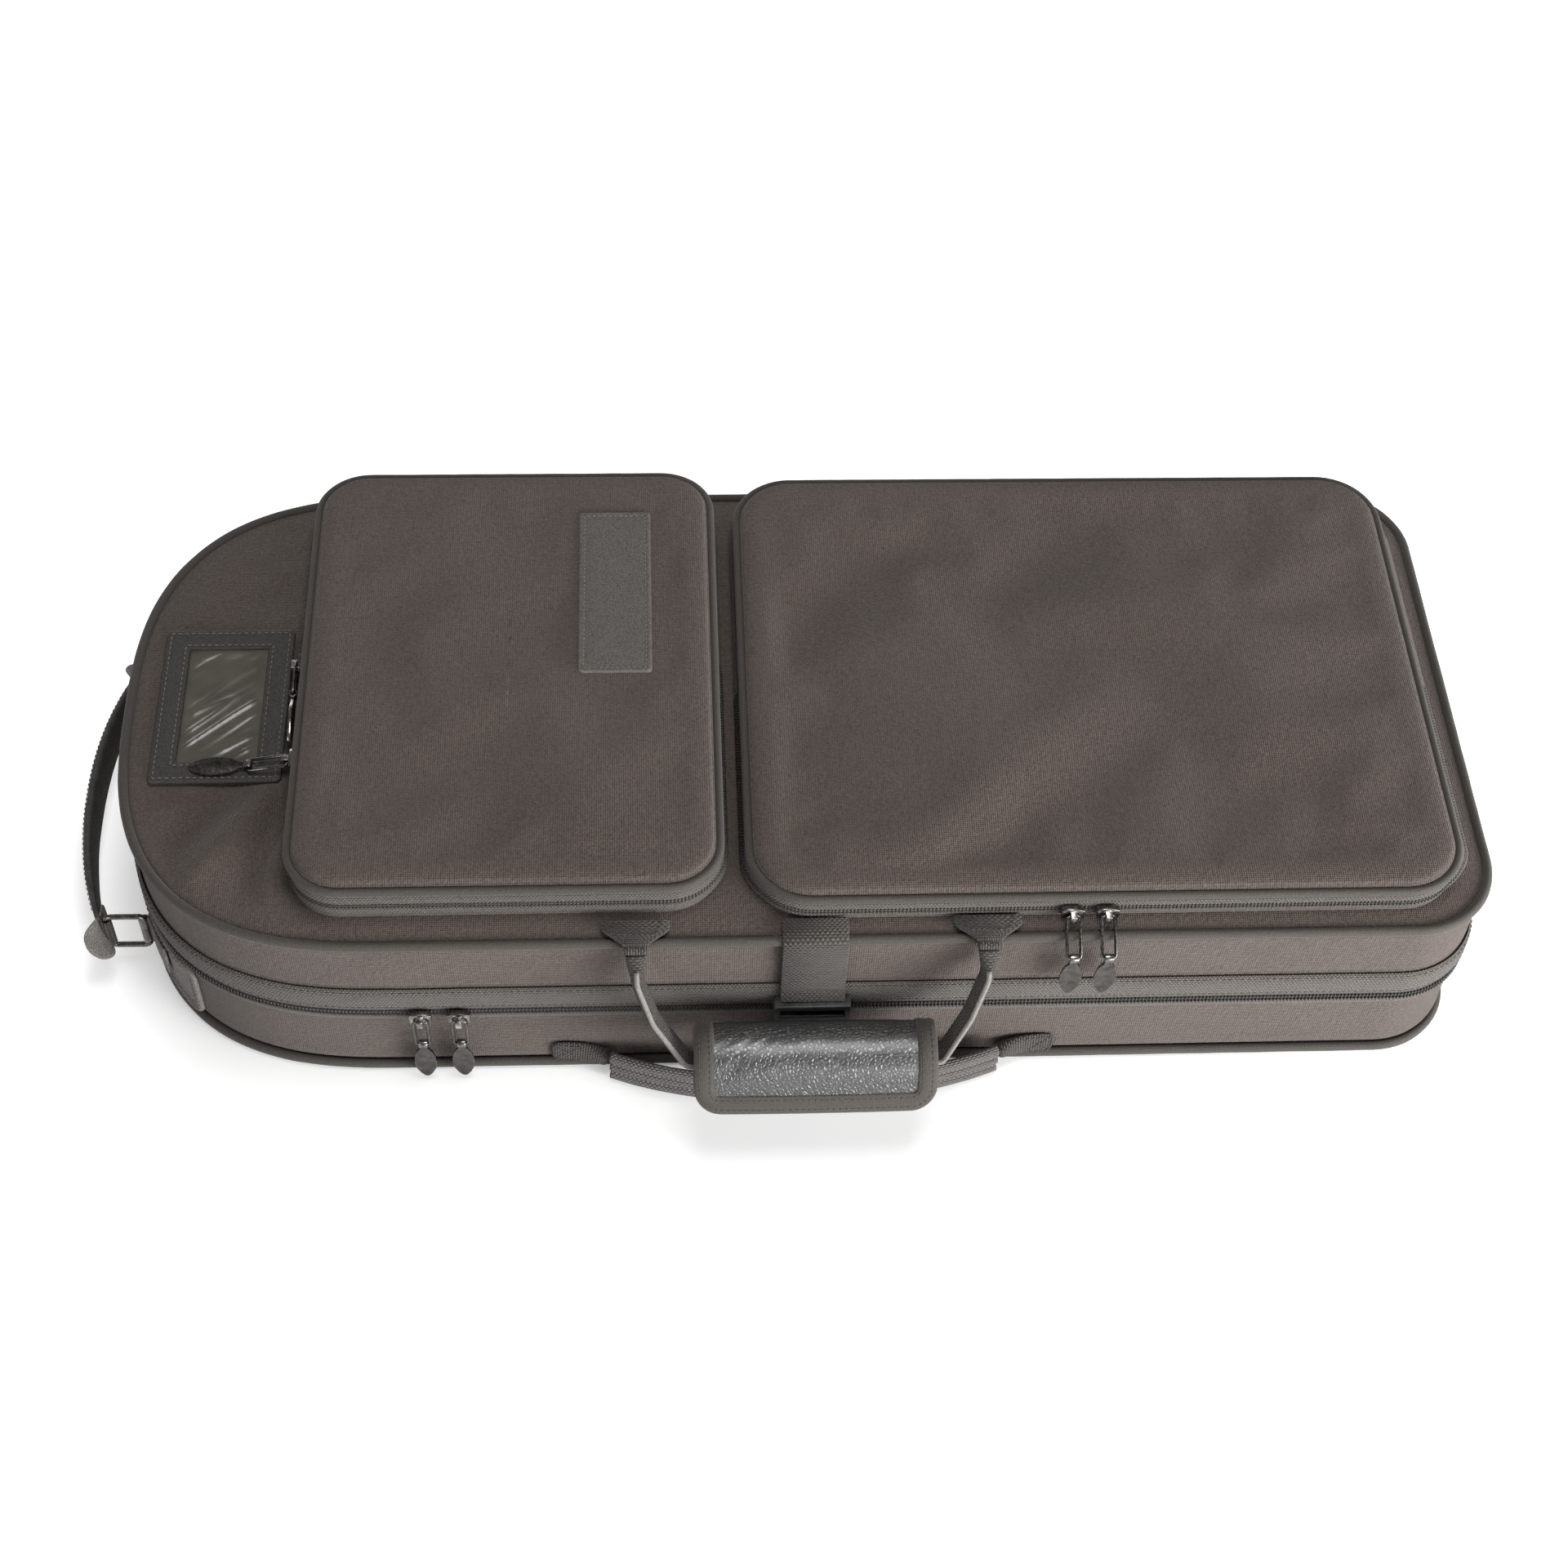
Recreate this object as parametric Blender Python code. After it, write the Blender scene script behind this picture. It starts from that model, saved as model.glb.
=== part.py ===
# Soft bassoon case with a rounded end, two zipped pockets on the lid and a padded carry handle.
# Metres, +Z up. Origin: centre of the bottom face. -X is the rounded end, -Y the front, +Y the hinge side.
import math

import bmesh
import bpy
from mathutils import Matrix, Vector

# Case: plan, heights and walls
CASE_LENGTH = 0.680
CASE_WIDTH = 0.294
ROUND_END_DEPTH = 0.142
ROUND_END_POWER = 2.74
CORNER_RADIUS = 0.042
JOIN_HEIGHT = 0.0535
CASE_HEIGHT = 0.113
BASE_WALL = 0.006
BASE_FLOOR = 0.006
LID_WALL = 0.005
LID_ROOF = 0.005
CLEARANCE = 0.0003
LEFT_END = -CASE_LENGTH / 2
RIGHT_END = CASE_LENGTH / 2
HALF_WIDTH = CASE_WIDTH / 2
FRONT = -HALF_WIDTH

# Piping: the corded edges of the case and of the pockets
CASE_CORD_RADIUS = 0.0026
CASE_CORD_LIFT = 0.0036
POCKET_CORD_RADIUS = 0.0022

# Zip tapes, coil halves, rain flap and rear hinge strips
TAPE_THICKNESS = 0.0008
COIL_PROUD = 0.0023
COIL_HEIGHT = 0.0022
BASE_TAPE_HEIGHT = 0.0060
LID_TAPE_HEIGHT = 0.0075
RAIN_FLAP_RISE = 0.0047
RAIN_FLAP_HEIGHT = 0.0150
RAIN_FLAP_THICKNESS = 0.0011
SPINE_THICKNESS = 0.0026
SPINE_HEIGHT = 0.0180
SPINE_END_GAP = 0.0020

# Foam insert and its wells, in shares: centre Y and width of the case's width, start X and length of its length
INSERT_DROP = 0.0035
LINING_THICKNESS = 0.006
LONG_WELL_SHARES = (0.10884, -0.45882, 0.92647, 0.17007)
LONG_WELL_DEPTH = 0.0380
BOOT_WELL_SHARES = (-0.12925, -0.19118, 0.65441, 0.26531)
BOOT_WELL_DEPTH = 0.0390
WING_WELL_SHARES = (-0.35714, -0.35294, 0.75735, 0.16327)
WING_WELL_DEPTH = 0.0360
BELL_WELL_SHARES = (0.33673, -0.02941, 0.49265, 0.24490)
BELL_WELL_DEPTH = 0.0380
REED_WELL_SHARES = (0.31973, -0.33824, 0.28676, 0.19048)
REED_WELL_DEPTH = 0.0280
SWAB_WELL_SHARES = (-0.12925, -0.44118, 0.23529, 0.24490)
SWAB_WELL_DEPTH = 0.0300
WELL_BOTTOM_RADIUS = 0.0230
CUT_OVERRUN = 0.0050

# Pockets: left, right, front and rear of the wall, corner radius, top and zip heights
SMALL_POCKET_END_MARGIN = 0.0905
SMALL_POCKET_FRONT_MARGIN = 0.0165
SMALL_POCKET_REAR_MARGIN = 0.0045
POCKET_SPLIT_SHARE = -0.06103
POCKET_SPLIT_GAP = 0.014
SMALL_POCKET_LEFT = LEFT_END + SMALL_POCKET_END_MARGIN
SMALL_POCKET_RIGHT = CASE_LENGTH * POCKET_SPLIT_SHARE
SMALL_POCKET_FRONT = FRONT + SMALL_POCKET_FRONT_MARGIN
SMALL_POCKET_REAR = HALF_WIDTH - SMALL_POCKET_REAR_MARGIN
SMALL_POCKET_RADIUS = 0.026
SMALL_POCKET_HEIGHT = 0.023
SMALL_ZIP_HEIGHT = 0.008
LARGE_POCKET_END_MARGIN = 0.0185
LARGE_POCKET_FRONT_MARGIN = 0.0115
LARGE_POCKET_REAR_MARGIN = 0.0055
LARGE_POCKET_LEFT = SMALL_POCKET_RIGHT + POCKET_SPLIT_GAP
LARGE_POCKET_RIGHT = RIGHT_END - LARGE_POCKET_END_MARGIN
LARGE_POCKET_FRONT = FRONT + LARGE_POCKET_FRONT_MARGIN
LARGE_POCKET_REAR = HALF_WIDTH - LARGE_POCKET_REAR_MARGIN
LARGE_POCKET_RADIUS = 0.030
LARGE_POCKET_HEIGHT = 0.018
LARGE_ZIP_HEIGHT = 0.005
POCKET_WALL = 0.004
POCKET_CREASE_INSET = 0.007
POCKET_CREASE_DROP = 0.002
POCKET_PAD = 0.005
POCKET_COIL_PROUD = 0.0012
POCKET_COIL_HEIGHT = 0.0040
SMALL_ZIP_RIGHT_END = 0.017
SMALL_ZIP_LEFT_END = 0.054
LARGE_ZIP_END = 0.0

# Name window and bare label patch
WINDOW_END_MARGIN = 0.015
WINDOW_LEFT = LEFT_END + WINDOW_END_MARGIN
WINDOW_WIDTH = 0.066
WINDOW_LENGTH = 0.100
WINDOW_BORDER = 0.013
WINDOW_RADIUS = 0.003
FRAME_THICKNESS = 0.0016
SHEET_THICKNESS = 0.0008
LABEL_WIDTH = 0.0375
LABEL_MARGIN = 0.032
LABEL_LEFT = SMALL_POCKET_RIGHT - LABEL_MARGIN - LABEL_WIDTH
LABEL_FRONT = 0.0
LABEL_LENGTH = 0.111
LABEL_THICKNESS = 0.0014
LABEL_RADIUS = 0.002

# Carry handle: anchors on the lid, webbing and leather grip
HANDLE_END_SHARES = (-0.122059, 0.127941)
HANDLE_LEFT = CASE_LENGTH * HANDLE_END_SHARES[0]
HANDLE_RIGHT = CASE_LENGTH * HANDLE_END_SHARES[1]
ANCHOR_WIDTH = 0.033
ANCHOR_TIP_WIDTH = 0.011
ANCHOR_REACH = 0.012
ANCHOR_THICKNESS = 0.0022
ANCHOR_ROLL_RADIUS = 0.0020
HANDLE_PIVOT_OUT = 0.006
HANDLE_PIVOT_DROP = 0.001
STRAP_THICKNESS = 0.006
STRAP_DEPTH = 0.013
STRAP_ROOT_WIDTH = 0.010
STRAP_ROOT_DEPTH = 0.003
STRAP_ROOT_LENGTH = 0.009
GRIP_LEFT = -0.055
GRIP_RIGHT = 0.062
GRIP_RADIUS = 0.0195
GRIP_LIP = 0.0028
GRIP_OUT = 0.033
GRIP_HEIGHT = 0.056
GRIP_END_BEND = 0.005

# Lower handle strap of the base, with three ridges
LOWER_LEFT = -0.0967
LOWER_RIGHT = 0.0995
LOWER_STRAP_THICKNESS = 0.0028
LOWER_STRAP_HEIGHT = 0.022
LOWER_STRAP_LIFT = 0.0015
LOWER_RIDGE = 0.0016
LOWER_RIDGES = 3
LOWER_STRAP_BOW = 0.016
LOWER_PIVOT_OUT = 0.006
LOWER_ROOT_OUT = 0.0025
PATCH_LENGTH = 0.031
PATCH_ROOT_LENGTH = 0.010
PATCH_THICKNESS = 0.0015
PATCH_HEIGHT = 0.016
PATCH_NOSE = 0.009
PATCH_NOSE_HEIGHT = 0.008

# Closing strap and side-release buckle
CLOSING_CENTRE = 0.0035
CLOSING_WIDTH = 0.032
CLOSING_THICKNESS = 0.0016
CLOSING_TUCK = 0.0070
BUCKLE_WIDTH = 0.038
SOCKET_DEPTH = 0.009
SOCKET_HEIGHT = 0.024
SOCKET_WALL = 0.0016
SOCKET_LIFT = 0.020
SOCKET_FLOOR = 0.003
SOCKET_WINDOW_HEIGHT = 0.007
SOCKET_WINDOW_DEPTH = 0.004
BUCKLE_TAB_WIDTH = 0.028
BUCKLE_TAB_THICKNESS = 0.0017
BUCKLE_TAB_LOW = 0.008
BUCKLE_TAB_HEIGHT = 0.024
PLUG_DEPTH = 0.007
PLUG_SHOULDER_HEIGHT = 0.0217
PLUG_SLOT_HEIGHT = 0.005
PLUG_BAR_HEIGHT = 0.0035
PRONG_LENGTH = 0.018
PRONG_WIDTH = 0.0055
PRONG_DEPTH = 0.0030
GUIDE_WIDTH = 0.007
GUIDE_LENGTH = 0.013

# End handle: reinforcement patch, ring tabs, rings and padded strap
END_PATCH_REACH_SHARE = 0.397959
END_PATCH_REACH = CASE_WIDTH * END_PATCH_REACH_SHARE
END_PATCH_THICKNESS = 0.0013
END_PATCH_BORDER = 0.0030
END_PATCH_BORDER_PROUD = 0.0010
RING_SPACING_SHARE = 0.537415
RING_SPACING = CASE_WIDTH * RING_SPACING_SHARE
RING_REACH = 0.020
RING_WIRE_RADIUS = 0.0015
RING_WINDOW = 0.022
RING_CORNER = 0.0022
END_HANDLE_HEIGHT = 0.0302
LOOP_WALL = 0.0015
TAB_LENGTH = 0.022
TAB_THICKNESS = 0.0014
END_STRAP_STANDOFF = 0.034
END_STRAP_HEIGHT = 0.026
END_STRAP_THICKNESS = 0.005
END_TONGUE = 0.014
END_TONGUE_THICKNESS = 0.003

# Zip sliders, wire links and leaf-shaped pull tags
SLIDER_LENGTH = 0.011
SLIDER_WIDTH = 0.008
SLIDER_THICKNESS = 0.003
SLIDER_WAIST_SHARE = 0.72
CROWN_WIDTH = 0.003
CROWN_WALL = 0.0014
LINK_LENGTH = 0.020
LINK_WIDTH = 0.0085
LINK_WIRE_RADIUS = 0.0009
LINK_CORNER = 0.0016
TAG_LENGTH = 0.030
TAG_WIDTH = 0.011
TAG_THICKNESS = 0.0016
TAG_EYE_RADIUS = 0.0022
TAG_NECK_LENGTH = 0.005
MAIN_SLIDER_END_MARGIN = 0.150
LARGE_SLIDER_SHARE = 0.213235
MAIN_SLIDER_SPACING = 0.019
MAIN_SLIDER_LEFT = LEFT_END + MAIN_SLIDER_END_MARGIN
MAIN_SLIDER_RIGHT = MAIN_SLIDER_LEFT + MAIN_SLIDER_SPACING
LARGE_SLIDER_SPACING = 0.017
LARGE_SLIDER_RIGHT = CASE_LENGTH * LARGE_SLIDER_SHARE
LARGE_SLIDER_LEFT = LARGE_SLIDER_RIGHT - LARGE_SLIDER_SPACING
SMALL_SLIDER_FRONT = -0.042
SMALL_SLIDER_REAR = 0.020
LARGE_LINK_TILT = math.radians(55)

# Smoothness
ROUND_END_STEPS = 24
CORNER_STEPS = 5
CORD_SIDES = 6
WIRE_SIDES = 8
GRIP_SIDES = 24

# Derived places that several pieces share
ROUND_END_X = LEFT_END + ROUND_END_DEPTH
BASE_RIM = JOIN_HEIGHT - CLEARANCE / 2
LID_RIM = JOIN_HEIGHT + CLEARANCE / 2
CORD_SEAT = CASE_CORD_RADIUS + CLEARANCE
CORD_STEP = CASE_CORD_LIFT + CORD_SEAT
LID_CORD_HEIGHT = CASE_HEIGHT - CASE_CORD_LIFT
COIL_FACE = CLEARANCE + COIL_PROUD
SURFACE = CASE_HEIGHT + CLEARANCE


def clear_scene():
    for old in list(bpy.data.objects):
        bpy.data.objects.remove(old, do_unlink=True)


def make_material(name, colour, roughness, metallic=0.0):
    material = bpy.data.materials.new(name)
    material.use_nodes = True
    shader = material.node_tree.nodes["Principled BSDF"]
    shader.inputs["Base Color"].default_value = (*colour, 1.0)
    shader.inputs["Roughness"].default_value = roughness
    shader.inputs["Metallic"].default_value = metallic
    material.diffuse_color = (*colour, 1.0)
    return material


def add_object(name, mesh, material):
    mesh.materials.clear()
    mesh.materials.append(material)
    piece = bpy.data.objects.new(name, mesh)
    bpy.context.collection.objects.link(piece)
    return piece


def finish_mesh(name, shape, smooth=True):
    bmesh.ops.recalc_face_normals(shape, faces=shape.faces)
    mesh = bpy.data.meshes.new(name)
    shape.to_mesh(mesh)
    shape.free()
    if smooth:
        mesh.shade_smooth()
        mesh.set_sharp_from_angle(angle=math.radians(35))
    return mesh


def join_rings(shape, first, second, closed):
    count = len(first)
    for index in range(count if closed else count - 1):
        following = (index + 1) % count
        shape.faces.new((first[index], first[following], second[following], second[index]))


def loft(name, material, sections, ring_closed=True, loop=False, smooth=True):
    """Skin a list of equal rings of points; the ends are capped, or joined in a loop."""
    shape = bmesh.new()
    rings = [[shape.verts.new(point) for point in section] for section in sections]
    for first, second in zip(rings, rings[1:]):
        join_rings(shape, first, second, ring_closed)
    if loop:
        join_rings(shape, rings[-1], rings[0], ring_closed)
    else:
        shape.faces.new(rings[0])
        shape.faces.new(rings[-1])
    return add_object(name, finish_mesh(name, shape, smooth), material)


def plan_body(name, material, plan, profile, smooth=True):
    """Stack plan outlines: profile lists (inset, height) and both ends are capped."""
    sections = [[(x, y, height) for x, y in plan(inset)] for inset, height in profile]
    return loft(name, material, sections, smooth=smooth)


def plan_ring(name, material, plan, profile, smooth=True):
    """Carry a closed profile of (inset, height) all round a plan outline."""
    sections = [[(x, y, height) for x, y in plan(inset)] for inset, height in profile]
    return loft(name, material, sections, loop=True, smooth=smooth)


def plan_strip(name, material, plan, profile, smooth=True):
    """Carry a closed profile of (inset, height) along an open plan path, with flat ends."""
    columns = [[(x, y, height) for x, y in plan(inset)] for inset, height in profile]
    sections = [list(section) for section in zip(*columns)]
    return loft(name, material, sections, smooth=smooth)


def arc(centre, radius, start, end, steps):
    """Points on an arc in the plan, angles in degrees."""
    angles = [math.radians(start + (end - start) * step / steps) for step in range(steps + 1)]
    return [(centre[0] + radius * math.cos(angle), centre[1] + radius * math.sin(angle)) for angle in angles]


def case_plan(inset):
    """The case's outline: from the rear right corner round the right end, the front and the round end."""
    radius = CORNER_RADIUS - inset
    corner_x = RIGHT_END - CORNER_RADIUS
    corner_y = HALF_WIDTH - CORNER_RADIUS
    points = arc((corner_x, corner_y), radius, 90, 0, CORNER_STEPS)
    points += arc((corner_x, -corner_y), radius, 0, -90, CORNER_STEPS)
    for step in range(ROUND_END_STEPS + 1):
        points.append(round_end_point(inset, -90 + 180 * step / ROUND_END_STEPS))
    return points


def round_end_point(inset, degrees):
    """A point of the rounded end: -90 is its front start, 0 its tip and 90 its rear start."""
    angle = math.radians(degrees)
    depth = (ROUND_END_DEPTH - inset) * abs(math.cos(angle)) ** (2 / ROUND_END_POWER)
    side = (HALF_WIDTH - inset) * abs(math.sin(angle)) ** (2 / ROUND_END_POWER)
    return (ROUND_END_X - depth, math.copysign(side, angle))


def round_end_wall(side):
    """X of the rounded end's wall at a given Y, and the wall's outward direction there."""
    share = abs(side) / HALF_WIDTH
    reach = (1 - share ** ROUND_END_POWER) ** (1 / ROUND_END_POWER)
    lean_x = -(reach ** (ROUND_END_POWER - 1)) / ROUND_END_DEPTH
    lean_y = math.copysign(share ** (ROUND_END_POWER - 1), side) / HALF_WIDTH
    return ROUND_END_X - ROUND_END_DEPTH * reach, Vector((lean_x, lean_y, 0.0)).normalized()


def round_end_plan(start, end, steps):
    """A path along part of the rounded end, from one Y to another."""
    def plan(inset):
        points = []
        for step in range(steps + 1):
            side = start + (end - start) * step / steps
            wall, outward = round_end_wall(side)
            points.append((wall - outward.x * inset, side - outward.y * inset))
        return points
    return plan


def box_plan(left, right, front, rear, radius, steps=CORNER_STEPS):
    """A rounded rectangle as a closed plan."""
    def plan(inset):
        turn = max(radius - inset, CLEARANCE)
        edge = inset + turn
        points = arc((right - edge, rear - edge), turn, 90, 0, steps)
        points += arc((right - edge, front + edge), turn, 0, -90, steps)
        points += arc((left + edge, front + edge), turn, -90, -180, steps)
        points += arc((left + edge, rear - edge), turn, 180, 90, steps)
        return points
    return plan


def pocket_front_plan(left, right, front, radius, right_end, left_end):
    """The open path of a pocket's zip: right wall, front and left wall."""
    def plan(inset):
        turn = radius - inset
        points = [(right - inset, right_end)]
        points += arc((right - radius, front + radius), turn, 0, -90, CORNER_STEPS)
        points += arc((left + radius, front + radius), turn, -90, -180, CORNER_STEPS)
        points.append((left + inset, left_end))
        return points
    return plan


def cord_profile(inset, height, radius):
    """A round cord's section as (inset, height) pairs."""
    turns = [2 * math.pi * (side + 0.5) / CORD_SIDES for side in range(CORD_SIDES)]
    return [(inset + radius * math.cos(turn), height + radius * math.sin(turn)) for turn in turns]


def block(low, high):
    """A box between two corners, as a bmesh."""
    shape = bmesh.new()
    bmesh.ops.create_cube(shape, size=1)
    size = [high[axis] - low[axis] for axis in range(3)]
    middle = [(high[axis] + low[axis]) / 2 for axis in range(3)]
    bmesh.ops.scale(shape, vec=size, verts=shape.verts)
    bmesh.ops.translate(shape, vec=middle, verts=shape.verts)
    return shape


def rod(radius, start, end, sides=WIRE_SIDES):
    """A round rod between two points, as a bmesh."""
    shape = bmesh.new()
    way = Vector(end) - Vector(start)
    turn = way.to_track_quat("Z", "Y").to_matrix().to_4x4()
    place = Matrix.Translation((Vector(start) + Vector(end)) / 2) @ turn
    bmesh.ops.create_cone(shape, cap_ends=True, segments=sides, radius1=radius, radius2=radius,
                          depth=way.length, matrix=place)
    return shape


def prism(points, axis, low, high):
    """Extrude an outline of (a, b) pairs along X, Y or Z, as a bmesh."""
    corner = {
        "X": lambda a, b, along: (along, a, b),
        "Y": lambda a, b, along: (a, along, b),
        "Z": lambda a, b, along: (a, b, along),
    }[axis]
    shape = bmesh.new()
    face = shape.faces.new([shape.verts.new(corner(a, b, low)) for a, b in points])
    pushed = bmesh.ops.extrude_face_region(shape, geom=[face])["geom"]
    moved = [item for item in pushed if isinstance(item, bmesh.types.BMVert)]
    bmesh.ops.translate(shape, vec=corner(0, 0, high - low), verts=moved)
    return shape


def tool_object(name, shape):
    """A cutter or a joined part: kept as a wire guide and left out of the model."""
    guide = bpy.data.objects.new(name, finish_mesh(name, shape, smooth=False))
    bpy.context.collection.objects.link(guide)
    guide.hide_render = True
    guide.display_type = "WIRE"
    return guide


def combine(piece, shape, operation):
    """Add or cut one shape with a live Boolean."""
    guide = tool_object(f"{piece.name}_{operation.lower()}_{len(piece.modifiers)}", shape)
    guide.parent = piece.parent
    boolean = piece.modifiers.new(guide.name, "BOOLEAN")
    boolean.operation = operation
    boolean.solver = "EXACT"
    boolean.object = guide


def hinge_empty(name, place):
    """An empty on a joint's axis, which carries the pieces that turn with it."""
    empty = bpy.data.objects.new(name, None)
    empty.location = place
    bpy.context.collection.objects.link(empty)
    return empty


def carry(parent, pieces):
    """Hang pieces on a joint's empty without moving them."""
    for piece in pieces:
        piece.parent = parent
        piece.matrix_parent_inverse = Matrix.Translation(-parent.location)
        for modifier in piece.modifiers:
            modifier.object.parent = parent
            modifier.object.matrix_parent_inverse = Matrix.Translation(-parent.location)


def build_base(looks):
    """The tub with its piping, zip half, hinge strip and fitted foam."""
    plan_body("base_shell", looks["fabric"], case_plan, [
        (CORD_SEAT, 0), (CORD_SEAT, CORD_STEP), (0, CORD_STEP), (0, BASE_RIM),
        (BASE_WALL, BASE_RIM), (BASE_WALL, BASE_FLOOR)])
    plan_ring("base_piping", looks["piping"], case_plan,
              cord_profile(0, CASE_CORD_LIFT, CASE_CORD_RADIUS))
    tape_face = -CLEARANCE - TAPE_THICKNESS
    coil_low = BASE_RIM - COIL_HEIGHT
    plan_strip("base_zip_tape", looks["tape"], case_plan, [
        (-CLEARANCE, BASE_RIM - BASE_TAPE_HEIGHT), (tape_face, BASE_RIM - BASE_TAPE_HEIGHT),
        (tape_face, coil_low), (-COIL_FACE, coil_low), (-COIL_FACE, BASE_RIM), (-CLEARANCE, BASE_RIM)])
    build_spine("base_spine", looks["fabric"], BASE_RIM - SPINE_HEIGHT, BASE_RIM)
    build_insert(looks["foam"])


def build_spine(name, material, low, high):
    """A padded half of the fabric hinge, flat against the rear wall."""
    left = ROUND_END_X + SPINE_END_GAP
    right = RIGHT_END - CORNER_RADIUS - SPINE_END_GAP
    near = HALF_WIDTH + CLEARANCE
    strip = block((left, near, low), (right, near + SPINE_THICKNESS, high))
    return add_object(name, finish_mesh(name, strip), material)


def build_insert(material):
    inset = BASE_WALL + CLEARANCE
    low = BASE_FLOOR + CLEARANCE
    top = JOIN_HEIGHT - INSERT_DROP
    insert = plan_body("base_insert", material, case_plan, [(inset, low), (inset, top)])
    for shares, depth in (
            (LONG_WELL_SHARES, LONG_WELL_DEPTH), (BOOT_WELL_SHARES, BOOT_WELL_DEPTH),
            (WING_WELL_SHARES, WING_WELL_DEPTH), (BELL_WELL_SHARES, BELL_WELL_DEPTH),
            (REED_WELL_SHARES, REED_WELL_DEPTH), (SWAB_WELL_SHARES, SWAB_WELL_DEPTH)):
        centre, width = shares[0] * CASE_WIDTH, shares[3] * CASE_WIDTH
        start, length = shares[1] * CASE_LENGTH, shares[2] * CASE_LENGTH
        combine(insert, well_cutter(centre, start, length, width, depth, top), "DIFFERENCE")


def well_cutter(centre, start, length, width, depth, top):
    """A trough with a rounded bottom, which one joint of the instrument lies in."""
    radius = min(WELL_BOTTOM_RADIUS, width / 2, depth)
    floor = top - depth
    reach = width / 2 - radius
    points = [(centre - width / 2, top + CUT_OVERRUN)]
    points += arc((centre - reach, floor + radius), radius, 180, 270, CORNER_STEPS)
    points += arc((centre + reach, floor + radius), radius, 270, 360, CORNER_STEPS)[reach == 0:]
    points.append((centre + width / 2, top + CUT_OVERRUN))
    return prism(points, "X", start, start + length)


def build_lid(looks):
    """The lid with its piping, rain flap, zip half, hinge strip and inner cushion."""
    step = CASE_HEIGHT - CORD_STEP
    pieces = [
        plan_body("lid_shell", looks["fabric"], case_plan, [
            (CORD_SEAT, CASE_HEIGHT), (CORD_SEAT, step), (0, step), (0, LID_RIM),
            (LID_WALL, LID_RIM), (LID_WALL, CASE_HEIGHT - LID_ROOF)]),
        plan_body("lid_lining", looks["lining"], case_plan, [
            (LID_WALL + CLEARANCE, CASE_HEIGHT - LID_ROOF - CLEARANCE),
            (LID_WALL + CLEARANCE, CASE_HEIGHT - LID_ROOF - LINING_THICKNESS)]),
        plan_ring("lid_piping", looks["piping"], case_plan,
                  cord_profile(0, LID_CORD_HEIGHT, CASE_CORD_RADIUS)),
        build_lid_tape(looks["tape"]),
        build_rain_flap(looks["tape"]),
        build_spine("lid_spine", looks["fabric"], LID_RIM, LID_RIM + SPINE_HEIGHT),
    ]
    return pieces


def build_lid_tape(material):
    face = -CLEARANCE - TAPE_THICKNESS
    coil_top = LID_RIM + COIL_HEIGHT
    return plan_strip("lid_zip_tape", material, case_plan, [
        (-CLEARANCE, LID_RIM), (-COIL_FACE, LID_RIM), (-COIL_FACE, coil_top), (face, coil_top),
        (face, LID_RIM + LID_TAPE_HEIGHT), (-CLEARANCE, LID_RIM + LID_TAPE_HEIGHT)])


def build_rain_flap(material):
    """The ribbed band sewn to the lid's wall above the zip; its lower edge hangs over the tape."""
    low = LID_RIM + RAIN_FLAP_RISE
    sewn = LID_RIM + LID_TAPE_HEIGHT + CLEARANCE
    over_tape = 2 * CLEARANCE + TAPE_THICKNESS
    return plan_strip("lid_zip_flap", material, case_plan, [
        (-CLEARANCE, sewn), (-over_tape, sewn), (-over_tape, low),
        (-over_tape - RAIN_FLAP_THICKNESS, low),
        (-over_tape - RAIN_FLAP_THICKNESS, low + RAIN_FLAP_HEIGHT - RAIN_FLAP_THICKNESS),
        (-CLEARANCE - RAIN_FLAP_THICKNESS, low + RAIN_FLAP_HEIGHT),
        (-CLEARANCE, low + RAIN_FLAP_HEIGHT)])


def build_pocket(side, looks, walls, height, zip_height, zip_ends):
    """One lid pocket: its sewn lower wall with the zip, and the padded cover with its piping."""
    left, right, front, rear, radius = walls
    plan = box_plan(left, right, front, rear, radius)
    seam = CASE_HEIGHT + zip_height
    top = CASE_HEIGHT + height
    gusset_top = seam - CLEARANCE / 2
    gusset = plan_ring(f"{side}_pocket_gusset", looks["fabric"], plan, [
        (0, SURFACE), (0, gusset_top), (POCKET_WALL, gusset_top), (POCKET_WALL, SURFACE)])
    zip_plan = pocket_front_plan(left, right, front, radius, *zip_ends)
    coil_low = max(gusset_top - POCKET_COIL_HEIGHT, SURFACE)
    coil_out = -CLEARANCE - POCKET_COIL_PROUD
    coil = plan_strip(f"{side}_pocket_zip", looks["tape"], zip_plan, [
        (-CLEARANCE, coil_low), (coil_out, coil_low), (coil_out, gusset_top), (-CLEARANCE, gusset_top)])
    cover_low = seam + CLEARANCE / 2
    cord_inset = POCKET_CORD_RADIUS + CLEARANCE
    cord_top = top - POCKET_CREASE_DROP
    cord_low = cord_top - 2 * cord_inset
    cover = plan_body(f"{side}_pocket_flap", looks["fabric"], plan, [
        (POCKET_CREASE_INSET, top), (cord_inset, cord_top), (cord_inset, cord_low), (0, cord_low),
        (0, cover_low), (POCKET_WALL, cover_low), (POCKET_WALL, top - POCKET_PAD)])
    cord = plan_ring(f"{side}_pocket_piping", looks["piping"], plan,
                     cord_profile(0, cord_top - cord_inset, POCKET_CORD_RADIUS))
    return [gusset, coil], [cover, cord]


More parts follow.
